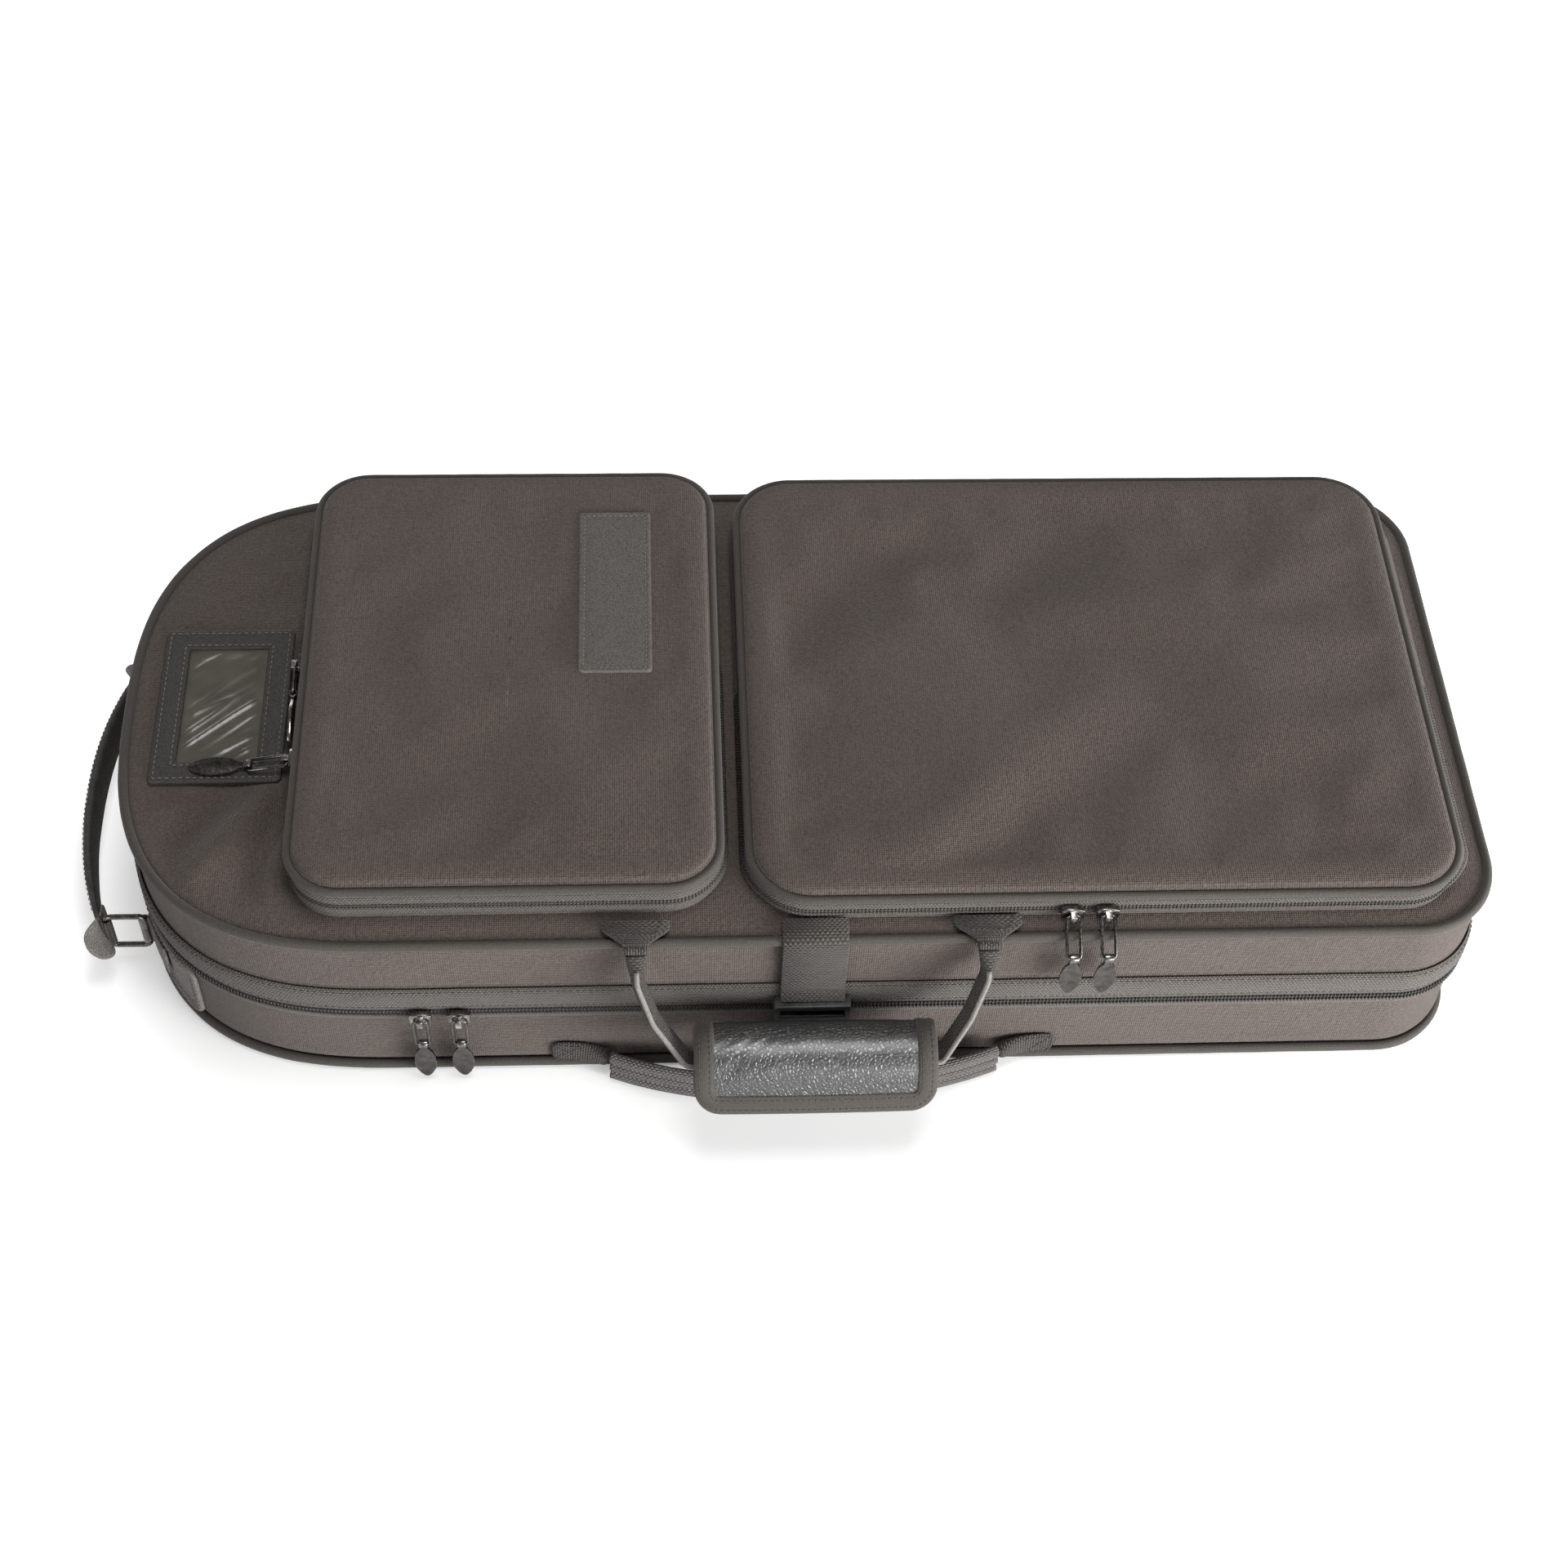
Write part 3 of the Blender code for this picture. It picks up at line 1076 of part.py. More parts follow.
def main():
    clear_scene()
    looks = make_looks()
    build_base(looks)
    rings, end_strap = build_end_handle(looks)
    lower_y, lower_z = lower_pivot()
    lower_strap = build_lower_strap(looks["webbing"])
    build_strap_patch("strap_patch_left", looks["webbing"], LOWER_LEFT, -1)
    build_strap_patch("strap_patch_right", looks["webbing"], LOWER_RIGHT, 1)

    lid = build_lid(looks)
    small_fixed, small_cover = build_pocket(
        "small", looks, (SMALL_POCKET_LEFT, SMALL_POCKET_RIGHT, SMALL_POCKET_FRONT, SMALL_POCKET_REAR,
                         SMALL_POCKET_RADIUS),
        SMALL_POCKET_HEIGHT, SMALL_ZIP_HEIGHT, (SMALL_ZIP_RIGHT_END, SMALL_ZIP_LEFT_END))
    large_fixed, large_cover = build_pocket(
        "large", looks, (LARGE_POCKET_LEFT, LARGE_POCKET_RIGHT, LARGE_POCKET_FRONT, LARGE_POCKET_REAR,
                         LARGE_POCKET_RADIUS),
        LARGE_POCKET_HEIGHT, LARGE_ZIP_HEIGHT, (LARGE_ZIP_END, LARGE_ZIP_END))
    small_cover.append(build_label(looks))
    lid += small_fixed + large_fixed + build_window(looks)
    lid += [build_anchor("handle_anchor_left", looks["webbing"], HANDLE_LEFT),
            build_anchor("handle_anchor_right", looks["webbing"], HANDLE_RIGHT)]
    plug, closing_strap = build_buckle(looks)
    handle = [build_carry_strap(looks["webbing"]), build_grip(looks["grip"])]
    build_zip_pulls(looks)

    carry(hinge_empty("lid_pivot", (0, HALF_WIDTH + CLEARANCE + SPINE_THICKNESS, JOIN_HEIGHT)),
          lid + [closing_strap])
    carry(hinge_empty("small_cover_pivot", (0, SMALL_POCKET_REAR, CASE_HEIGHT + SMALL_ZIP_HEIGHT)), small_cover)
    carry(hinge_empty("large_cover_pivot", (0, LARGE_POCKET_REAR, CASE_HEIGHT + LARGE_ZIP_HEIGHT)), large_cover)
    carry(hinge_empty("carry_handle_pivot", (0, *handle_pivot())), handle)
    carry(hinge_empty("lower_strap_pivot", (0, lower_y, lower_z)), [lower_strap])
    carry(hinge_empty("buckle_slide", plug.location), [plug])
    bar = ring_bar()
    for ring, side in zip(rings, (1, -1)):
        carry(hinge_empty(f"{ring.name}_pivot", (bar.x, bar.y * side, bar.z)), [ring])
    carry(hinge_empty("end_strap_pivot", (bar.x - RING_REACH, bar.y, bar.z)), [end_strap])


main()
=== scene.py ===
"""Soft bassoon case with a rounded end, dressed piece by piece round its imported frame."""
import math

import bmesh
import bpy
from mathutils import Matrix, Vector, noise


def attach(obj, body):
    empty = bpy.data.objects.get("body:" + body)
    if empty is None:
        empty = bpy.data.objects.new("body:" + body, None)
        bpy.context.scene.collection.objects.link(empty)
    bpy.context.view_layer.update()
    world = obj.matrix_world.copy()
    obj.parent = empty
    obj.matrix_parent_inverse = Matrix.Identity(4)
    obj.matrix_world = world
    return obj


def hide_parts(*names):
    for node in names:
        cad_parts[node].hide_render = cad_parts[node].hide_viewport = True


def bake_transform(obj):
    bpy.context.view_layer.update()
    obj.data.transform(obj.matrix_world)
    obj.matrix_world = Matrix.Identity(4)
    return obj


bl_info = {
    "name": "Bassoon case",
    "version": (1, 0, 0),
    "blender": (4, 5, 0),
    "location": "View3D > Sidebar > Bassoon case",
    "description": "Padded fabric, webbing, leather and zip pulls of a soft bassoon case",
    "category": "Object",
}

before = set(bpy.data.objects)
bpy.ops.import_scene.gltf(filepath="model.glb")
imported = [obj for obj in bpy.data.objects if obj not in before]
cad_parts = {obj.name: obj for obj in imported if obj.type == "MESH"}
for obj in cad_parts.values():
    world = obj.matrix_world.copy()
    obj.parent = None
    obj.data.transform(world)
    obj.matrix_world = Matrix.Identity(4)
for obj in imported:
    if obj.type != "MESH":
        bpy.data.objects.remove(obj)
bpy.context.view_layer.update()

MM = 0.001
MERGE = 1e-6
RAGGED_PER_METRE = 900
BEADS_IN_BATCH = 50
CORD_SIDES = 14
X, Y, Z = Vector((1, 0, 0)), Vector((0, 1, 0)), Vector((0, 0, 1))

# Case, in metres
LEFT_END = -340 * MM
RIGHT_END = 340 * MM
HALF_WIDTH = 147 * MM
FRONT = -HALF_WIDTH
ROUND_END_X = -198 * MM
ROUND_END_DEPTH = 142 * MM
ROUND_END_POWER = 2.74
CORNER_RADIUS = 42 * MM
TOP = 113 * MM
SURFACE = TOP + 0.3 * MM
HINGE_LEFT = -196 * MM
HINGE_RIGHT = 296 * MM

# Piping, in mm
CORD_RADIUS = 2.6
BASE_CORD = 3.6
LID_CORD = 109.4

# Pockets, in mm: the roll is the rise of a cover's top beside its piping
POCKET_CORD = 2.2
POCKET_CREASE_DROP = 2.0
POCKET_CREASE = 5.0
POCKET_ROLL = 0.9
LABEL_LEVEL = 135.7

# Handles, straps and buckle, in metres
PIVOT = Vector((0, -153 * MM, 112 * MM))
HANDLE_ENDS = (-83 * MM, 87 * MM)
GRIP_ENDS = (-55 * MM, 62 * MM)
GRIP_CENTRE = Vector((0, -180 * MM, 56 * MM))
GRIP_RADIUS = 19.5 * MM
LOWER_ENDS = (-96.7 * MM, 99.5 * MM)
CLOSING_CENTRE = 3.5 * MM
BUCKLE_BAR = Vector((0, -153.8 * MM, 66 * MM))
END_HANDLE_HEIGHT = 30.2 * MM
RING_BAR_X, OUTER_BAR_X, RING_Y = -334.81 * MM, -354.81 * MM, 80.82 * MM
END_STRAP_X, END_STRAP_MIDDLE_X = -358.1 * MM, -371.5 * MM


def clamp(value, low=0.0, high=1.0):
    return min(max(value, low), high)


def soft_step(value, low, high):
    share = clamp((value - low) / (high - low))
    return share * share * (3 - 2 * share)


def within(value, rise, fall):
    """1 between two ramps, each given by its two ends, and 0 outside them."""
    return soft_step(value, *rise) * (1 - soft_step(value, *fall))


def waves(x, y, z):
    """Smooth noise in three octaves, from about -1 to 1."""
    return noise.fractal(Vector((x, y, z)), 1.0, 2.0, 3)


def spread(low, high, count):
    """Evenly spaced values from low to high, count steps apart."""
    return [low + (high - low) * step / count for step in range(count + 1)]


def arc(centre, radius, start, end, steps):
    """Points on an arc in the plan, angles in degrees."""
    turns = [math.radians(angle) for angle in spread(start, end, steps)]
    return [Vector((centre[0] + radius * math.cos(turn), centre[1] + radius * math.sin(turn)))
            for turn in turns]


def case_outline(count):
    """The case's outline, evenly spaced, clockwise from the rear right corner."""
    x, y = RIGHT_END - CORNER_RADIUS, HALF_WIDTH - CORNER_RADIUS
    points = arc((x, y), CORNER_RADIUS, 90, 0, 24) + arc((x, -y), CORNER_RADIUS, 0, -90, 24)
    for degrees in spread(-90, 90, 120):
        angle = math.radians(degrees)
        depth = ROUND_END_DEPTH * abs(math.cos(angle)) ** (2 / ROUND_END_POWER)
        side = HALF_WIDTH * abs(math.sin(angle)) ** (2 / ROUND_END_POWER)
        points.append(Vector((ROUND_END_X - depth, math.copysign(side, angle))))
    return Outline(points, count, closed=True)


def rounded_box(left, right, front, rear, radius, count):
    """A rounded rectangle as an evenly spaced outline, clockwise."""
    points = []
    for x, y, start in ((right - radius, rear - radius, 90), (right - radius, front + radius, 0),
                        (left + radius, front + radius, -90), (left + radius, rear - radius, 180)):
        points += arc((x, y), radius, start, start - 90, 12)
    return Outline(points, count, closed=True, box=(left, right, front, rear, radius))


class Outline:
    """Evenly spaced points in the plan with their outward directions; clockwise paths face outwards."""

    def __init__(self, points, count, closed=False, box=None):
        self.closed = closed
        self.box = box
        self.points = evenly(points, count, closed)
        self.normals = []
        last = len(self.points) - 1
        for index in range(len(self.points)):
            after = self.points[(index + 1) % (last + 1)] if closed else self.points[min(index + 1, last)]
            before = self.points[index - 1] if closed or index else self.points[0]
            way = (after - before).normalized()
            self.normals.append(Vector((-way.y, way.x)))

    def row(self, out, height):
        """One row of points at a height, moved outwards in the plan, in mm; deep rows have mitred corners."""
        out, height = out * MM, height * MM
        if self.box and -out > self.box[4]:
            left, right, front, rear, _ = self.box
            return [Vector((clamp(point.x, left - out, right + out), clamp(point.y, front - out, rear + out),
                            height))
                    for point in self.points]
        return [Vector((*(point + normal * out), height)) for point, normal in zip(self.points, self.normals)]

    def rows(self, profile):
        """A row for each (out, height) of a profile in mm."""
        return [self.row(out, height) for out, height in profile]


def evenly(points, count, closed=False):
    """The same path with evenly spaced points."""
    path = [Vector(point) for point in points]
    if closed:
        path.append(path[0].copy())
    lengths = [0.0]
    for before, after in zip(path, path[1:]):
        lengths.append(lengths[-1] + (after - before).length)
    made = []
    position = 0
    for step in range(count):
        target = lengths[-1] * step / (count if closed else count - 1)
        while position < len(path) - 2 and lengths[position + 1] < target:
            position += 1
        span = lengths[position + 1] - lengths[position]
        share = (target - lengths[position]) / span if span else 0.0
        made.append(path[position].lerp(path[position + 1], share))
    return made


def smooth_path(points, count, ease=1):
    """A path through corner points with the corners eased, evenly spaced."""
    path = evenly(points, count * 4)
    for _ in range(ease * 8):
        path = [path[0]] + [(a + b * 2 + c) / 4 for a, b, c in zip(path, path[1:], path[2:])] + [path[-1]]
    return evenly(path, count)


def shell(rows, around=False, along=False, fill=True, pinch=0.0, both=False):
    """A grid bent to rows of points. around closes every row, along joins the last row to the first.

    pinch, in mm, merges the last row's points across the middle line that they meet on, and both does
    so for the first row too."""
    wide, tall = len(rows[0]) + around, len(rows) + along
    mesh = bmesh.new()
    bmesh.ops.create_grid(mesh, x_segments=wide - 1, y_segments=tall - 1, size=1)
    cloth = mesh.loops.layers.uv.new("cloth")
    verts = sorted(mesh.verts, key=lambda vert: (round(vert.co.y, 5), round(vert.co.x, 5)))
    across, upwards, middle = [0.0], [0.0], rows[len(rows) // 2]
    for column in range(1, wide):
        across.append(across[-1] + (middle[column % len(middle)] - middle[column - 1]).length)
    for line in range(1, tall):
        upwards.append(upwards[-1] + (rows[line % len(rows)][0] - rows[line - 1][0]).length)
    places = {}
    for index, vert in enumerate(verts):
        line, column = divmod(index, wide)
        vert.co = rows[line % len(rows)][column % len(rows[0])]
        places[vert] = (across[column], upwards[line])
    for face in mesh.faces:
        for loop in face.loops:
            loop[cloth].uv = places[loop.vert]
    if pinch:
        bmesh.ops.remove_doubles(mesh, verts=verts[-wide:], dist=pinch * MM)
        if both:
            bmesh.ops.remove_doubles(mesh, verts=verts[:wide], dist=pinch * MM)
    bmesh.ops.remove_doubles(mesh, verts=mesh.verts, dist=MERGE)
    open_edges = [edge for edge in mesh.edges if edge.is_boundary]
    if fill and open_edges:
        bmesh.ops.holes_fill(mesh, edges=open_edges, sides=0)
    bmesh.ops.recalc_face_normals(mesh, faces=mesh.faces)
    return mesh


def band(outline, profile):
    """A closed section of (out, height), in mm, carried along an outline."""
    return shell(outline.rows(profile), around=outline.closed, along=True)


def tape(path, inner, edge, face, low, high, ease):
    """A thin cloth tape on a path between two heights, with its edges eased; all in mm."""
    return band(path, [(inner, low), (edge, low + ease), (face, (low + high) / 2), (edge, high - ease),
                       (inner, high)])


def cord(name, outline, height, radius, body, node, unevenness, scale, seed):
    """A cloth covered cord along an outline, sewn a little unevenly; height and radius in mm."""
    turns = [2 * math.pi * side / CORD_SIDES for side in range(CORD_SIDES)]
    mesh = band(outline, [(radius * math.cos(turn), height + radius * math.sin(turn)) for turn in turns])
    ripple(mesh, unevenness * MM, scale, seed=seed)
    finish(name, mesh, "piping", body, [node])


def tube(path, radius, sides, closed=False):
    """A round tube along a path, its radius in mm."""
    sections = []
    count = len(path)
    for index, here in enumerate(path):
        after = path[(index + 1) % count] if closed else path[min(index + 1, count - 1)]
        before = path[index - 1] if closed or index else path[0]
        way = (after - before).normalized()
        side = way.cross(Z)
        side = side.normalized() if side.length > MERGE else way.orthogonal().normalized()
        rise = side.cross(way).normalized()
        turns = [2 * math.pi * corner / sides for corner in range(sides)]
        sections.append([here + (side * math.cos(turn) + rise * math.sin(turn)) * radius * MM
                         for turn in turns])
    return shell(sections, around=True, along=closed)


def strap(path, sides, widths, thicknesses, corner=0.35):
    """A flat strap along a path; sides is its width direction, and its widths and thicknesses can vary."""
    sections = []
    last = len(path) - 1
    for index, here in enumerate(path):
        way = (path[min(index + 1, last)] - path[max(index - 1, 0)]).normalized()
        across = sides[index] if isinstance(sides, list) else sides
        across = (across - way * across.dot(way)).normalized()
        out = way.cross(across).normalized()
        half, thick = [(size(index / last) if callable(size) else size) * MM / 2
                       for size in (widths, thicknesses)]
        ease = min(corner * 2 * thick, half / 2)
        flank = 0.3 * thick
        section = [(-half + ease, -thick), (0, -thick), (half - ease, -thick), (half, -flank), (half, flank)]
        section += [(-along, -rise) for along, rise in section]
        sections.append([here + across * along + out * rise for along, rise in section])
    return shell(sections, around=True)


def outward(here, way):
    """Straight out of a clockwise path in the plan."""
    return Vector((-way.y, way.x, 0))


def add_beads(mesh, path, ups, pitch, length, width, height, across=False, rings=4, ragged=0.0):
    """Small rounded beads along a path, such as stitches, or laid across it, such as zip teeth; in mm."""
    total = sum((b - a).length for a, b in zip(path, path[1:]))
    count = max(int(total / (pitch * MM)), 1)
    spots = evenly(path, 2 * count + 1)
    for first_bead in range(0, count, BEADS_IN_BATCH):
        batch = bmesh.new()
        for index in range(first_bead, min(first_bead + BEADS_IN_BATCH, count)):
            here = spots[2 * index + 1]
            way = (spots[2 * index + 2] - spots[2 * index]).normalized()
            up = ups(here, way) if callable(ups) else ups
            side = up.cross(way).normalized()
            up = way.cross(side).normalized()
            first, second = (side, -way) if across else (way, side)
            if ragged:
                first = (first + second * noise.noise(here * RAGGED_PER_METRE) * ragged).normalized()
                second = up.cross(first)
            axes = Matrix((first * length * MM / 2, second * width * MM / 2, up * height * MM / 2))
            bmesh.ops.create_uvsphere(batch, u_segments=6, v_segments=rings, radius=1,
                                      matrix=Matrix.Translation(here) @ axes.transposed().to_4x4())
        join(mesh, batch)


def sew(name, rows, ups, thread, body, pitch, length=2.4, width=0.6, height=0.5, ragged=0.0):
    """Lines of stitches as one piece."""
    mesh = bmesh.new()
    for row in rows:
        add_beads(mesh, row, ups, pitch, length, width, height, ragged=ragged)
    finish(name, mesh, thread, body)


def join(mesh, other):
    """Adds one mesh that is being made to another."""
    data = bpy.data.meshes.new("part")
    other.to_mesh(data)
    other.free()
    mesh.from_mesh(data)
    bpy.data.meshes.remove(data)


def finish(name, mesh, material, body, replaces=(), sharp=None, levels=0, blend=None):
    """Makes the object, gives it its finish and lets it ride on its body; given a blend, its transform is
    baked in instead and it rides on no body.
    """
    data = bpy.data.meshes.new(name)
    mesh.to_mesh(data)
    mesh.free()
    data.shade_smooth()
    if sharp:
        data.set_sharp_from_angle(angle=math.radians(sharp))
    piece = bpy.data.objects.new(name, data)
    bpy.context.scene.collection.objects.link(piece)
    data.materials.append(looks()[material])
    if levels:
        rounding = piece.modifiers.new("rounding", "SUBSURF")
        rounding.levels = rounding.render_levels = levels
    if blend:
        blend[0]
        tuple(blend[1])
        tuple(blend[2])
        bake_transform(piece)
    else:
        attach(piece, body)
    if replaces:
        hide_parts(*replaces)
    return piece


def refined(node, bevel, segments=3, angle=35, inset=None):
    """A rigid CAD node's own form, merged and with its edges rounded; bevel and inset in mm."""
    mesh = bmesh.new()
    mesh.from_mesh(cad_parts[node].data)
    bmesh.ops.remove_doubles(mesh, verts=mesh.verts, dist=MERGE)
    bmesh.ops.dissolve_limit(mesh, angle_limit=math.radians(2), verts=mesh.verts, edges=mesh.edges)
    bmesh.ops.recalc_face_normals(mesh, faces=mesh.faces)
    if inset:
        faces = sorted(mesh.faces, key=lambda face: -face.calc_area())[:2]
        bmesh.ops.inset_region(mesh, faces=faces, thickness=inset[0] * MM, depth=inset[1] * MM,
                               use_even_offset=True)
    limit = math.radians(angle)
    edges = [edge for edge in mesh.edges if edge.is_manifold and edge.calc_face_angle(0) > limit]
    bmesh.ops.bevel(mesh, geom=edges, offset=bevel * MM, segments=segments, profile=0.5, affect="EDGES",
                    clamp_overlap=True, material=-1)
    return mesh


def ripple(mesh, depth, scale, chosen=lambda place: 1.0, seed=0.0):
    """Pushes chosen points inwards by smooth noise, as slack cloth lies over its padding."""
    mesh.normal_update()
    moves = []
    for vert in mesh.verts:
        share = chosen(vert.co)
        if share > 0:
            wave = waves(vert.co.x * scale, vert.co.y * scale, (vert.co.z + seed) * scale)
            moves.append((vert, -vert.normal * depth * share * clamp(0.5 + 0.5 * wave)))
    for vert, move in moves:
        vert.co += move


def level(place, share, start):
    """A flat top: each point keeps the height that it starts with."""
    return start


def top_rows(start, spine, height, steps):
    """Rows from a closed outline's row in to its middle line; height gives each point's Z."""
    low, high = Vector(spine[0]), Vector(spine[1])
    axis = (high - low).normalized()
    rows = []
    for step in range(1, steps + 1):
        share = step / steps
        row = []
        for point in start:
            flat = Vector((point.x, point.y))
            reach = clamp((flat - low).dot(axis), 0.0, (high - low).length)
            place = flat.lerp(low + axis * reach, share)
            row.append(Vector((place.x, place.y, height(place, share, point.z))))
        rows.append(row)
    return rows


def fold_height(place, folds):
    """Sum of long soft folds: each is start, end, half width and height."""
    total = 0.0
    for start, end, width, height in folds:
        a, b = Vector(start), Vector(end)
        way = b - a
        share = clamp((place - a).dot(way) / way.length_squared)
        away = (place - (a + way * share)).length / width
        total += height * math.exp(-away * away) * math.sin(math.pi * clamp(share * 0.9 + 0.05)) ** 0.5
    return total


class Nodes:
    """Shorthand for building one node tree."""

    def __init__(self, tree):
        self.tree = tree

    def add(self, kind, *fed, **values):
        """A shader node: fed goes to its sockets in order, and of values a capital starts a socket's name."""
        node = self.tree.nodes.new("ShaderNode" + kind)
        for socket, value in zip(node.inputs, fed):
            self.feed(socket, value)
        for name, value in values.items():
            if name[0].isupper():
                self.feed(node.inputs[name], value)
            else:
                setattr(node, name, value)
        return node

    def feed(self, socket, value):
        if isinstance(value, bpy.types.NodeSocket):
            self.tree.links.new(value, socket)
        elif socket.type == "RGBA" and len(value) == 3:
            socket.default_value = (*value, 1.0)
        else:
            socket.default_value = value

    def math(self, operation, first, second=0.0):
        return self.add("Math", first, second, operation=operation).outputs[0]

    def mix(self, share, first, second):
        node = self.add("Mix", share, data_type="RGBA")
        self.feed(node.inputs[6], first)
        self.feed(node.inputs[7], second)
        return node.outputs[2]

    def noise(self, vector, scale, detail=3.0, rough=0.5):
        return self.add("TexNoise", Vector=vector, Scale=scale, Detail=detail, Roughness=rough).outputs[0]

    def limits(self, value, low, high, to_low=0.0, to_high=1.0):
        return self.add("MapRange", value, low, high, to_low, to_high).outputs[0]

    def place(self):
        return self.add("TexCoord").outputs["Object"]


def new_group(name, outputs, **inputs):
    """A shader node group with a Place input and more; returns it, its builder and its inner sockets."""
    group = bpy.data.node_groups.new(name, "ShaderNodeTree")
    for label, value in {"Place": (0.0, 0.0, 0.0), **inputs}.items():
        kind = "Float" if isinstance(value, float) else {3: "Vector", 4: "Color"}[len(value)]
        socket = group.interface.new_socket(label, in_out="INPUT", socket_type=f"NodeSocket{kind}")
        socket.default_value = value
    for label in outputs:
        kind = "Color" if label == "Color" else "Float"
        group.interface.new_socket(label, in_out="OUTPUT", socket_type=f"NodeSocket{kind}")
    given = group.nodes.new("NodeGroupInput").outputs
    return group, Nodes(group), given, group.nodes.new("NodeGroupOutput").inputs


def thread_group():
    """Plain weave: crossing threads on the axes that lie in the surface, with uneven yarn."""
    group, nodes, given, made = new_group("woven threads", ("Height", "Thread"), Facing=(0.0, 0.0, 1.0),
                                          Pitch=0.001, Unevenness=0.3)
    turns = nodes.math("DIVIDE", 2 * math.pi, given["Pitch"])
    split = nodes.add("SeparateXYZ", given["Place"])
    facing = nodes.add("SeparateXYZ", given["Facing"])
    waves = []
    for axis in range(3):
        lying = nodes.math("SUBTRACT", 1.0, nodes.math("POWER", nodes.math("ABSOLUTE", facing.outputs[axis]),
                                                       2.0))
        wave = nodes.math("SINE", nodes.math("MULTIPLY", split.outputs[axis], turns))
        waves.append(nodes.math("MULTIPLY", wave, nodes.limits(lying, 0.15, 0.6)))
    grid = nodes.math("ADD", nodes.math("ADD", waves[0], waves[1]), waves[2])
    yarn = nodes.noise(given["Place"], nodes.math("DIVIDE", 0.55, given["Pitch"]), 2.0)
    uneven = nodes.math("MULTIPLY", nodes.math("SUBTRACT", yarn, 0.5),
                        nodes.math("MULTIPLY", given["Unevenness"], 8.0))
    total = nodes.math("ADD", nodes.math("MULTIPLY", grid, 0.33), uneven)
    nodes.feed(made["Height"], total)
    nodes.feed(made["Thread"], nodes.limits(total, -1.2, 1.2))
    return group


def tone_group():
    """Cloth colour: broad fading, small mottling and thread by thread contrast."""
    group, nodes, given, made = new_group("cloth tone", ("Color",), Dark=(0.0, 0.0, 0.0, 1.0),
                                          Light=(1.0, 1.0, 1.0, 1.0), Thread=0.5, Contrast=0.35)
    broad = nodes.limits(nodes.noise(given["Place"], 9.0), 0.3, 0.7)
    small = nodes.limits(nodes.noise(given["Place"], 850.0, rough=0.65), 0.25, 0.75)
    mottled = nodes.math("ADD", nodes.math("MULTIPLY", broad, 0.14), nodes.math("MULTIPLY", small, 0.86))
    threads = nodes.math("SUBTRACT", given["Thread"], 0.5)
    share = nodes.math("ADD", mottled, nodes.math("MULTIPLY", threads, given["Contrast"]))
    nodes.feed(made["Color"], nodes.mix(nodes.limits(share, 0.0, 1.0), given["Dark"], given["Light"]))
    return group


def rib_group():
    """Ribs that run along a band, seen through their own small threads."""
    group, nodes, given, made = new_group("ribs", ("Height", "Thread"), Pitch=0.0015, Cross=0.0012)
    split = nodes.add("SeparateXYZ", given["Place"])
    along, over = [nodes.math("MULTIPLY", split.outputs[axis],
                              nodes.math("DIVIDE", 2 * math.pi, given[pitch]))
                   for axis, pitch in ((0, "Cross"), (1, "Pitch"))]
    rib = nodes.math("SINE", over)
    shift = nodes.math("MULTIPLY", nodes.math("SIGN", rib), math.pi / 2)
    cross = nodes.math("SINE", nodes.math("ADD", along, shift))
    total = nodes.math("ADD", nodes.math("ABSOLUTE", rib), nodes.math("MULTIPLY", cross, 0.45))
    nodes.feed(made["Height"], total)
    nodes.feed(made["Thread"], nodes.limits(total, -0.3, 1.3))
    return group


def grain_group():
    """Pebbled leather: rounded cells with creases between them, and broad wrinkles."""
    group, nodes, given, made = new_group("leather grain", ("Height", "Crease"), Scale=500.0, Wrinkles=0.4)
    warp = nodes.add("TexNoise", Vector=given["Place"], Scale=260.0)
    small = nodes.add("VectorMath", warp.outputs["Color"], operation="SCALE", Scale=0.0008)
    bent = nodes.add("VectorMath", given["Place"], small.outputs[0], operation="ADD")
    cells = nodes.add("TexVoronoi", bent.outputs[0], feature="DISTANCE_TO_EDGE", Scale=given["Scale"])
    pebble = nodes.limits(cells.outputs["Distance"], 0.0, 0.28)
    wrinkle = nodes.noise(given["Place"], 55.0, 4.0, 0.6)
    total = nodes.math("ADD", pebble, nodes.math("MULTIPLY", wrinkle,
                                                 nodes.math("MULTIPLY", given["Wrinkles"], 3.0)))
    nodes.feed(made["Height"], total)
    # The crease mask also darkens the leather's colour as painted shade in hide().
    nodes.feed(made["Crease"], pebble)
    return group


def wear_group():
    """Rubbed edges: a mask from how sharply the surface turns, broken up by noise."""
    group, nodes, given, made = new_group("edge wear", ("Mask",), Start=0.52, End=0.60)
    patchy = nodes.limits(nodes.noise(given["Place"], 160.0, 4.0, 0.6), 0.35, 0.6)
    edges = nodes.limits(nodes.add("NewGeometry").outputs["Pointiness"], given["Start"], given["End"])
    nodes.feed(made["Mask"], nodes.math("MULTIPLY", edges, patchy))
    return group


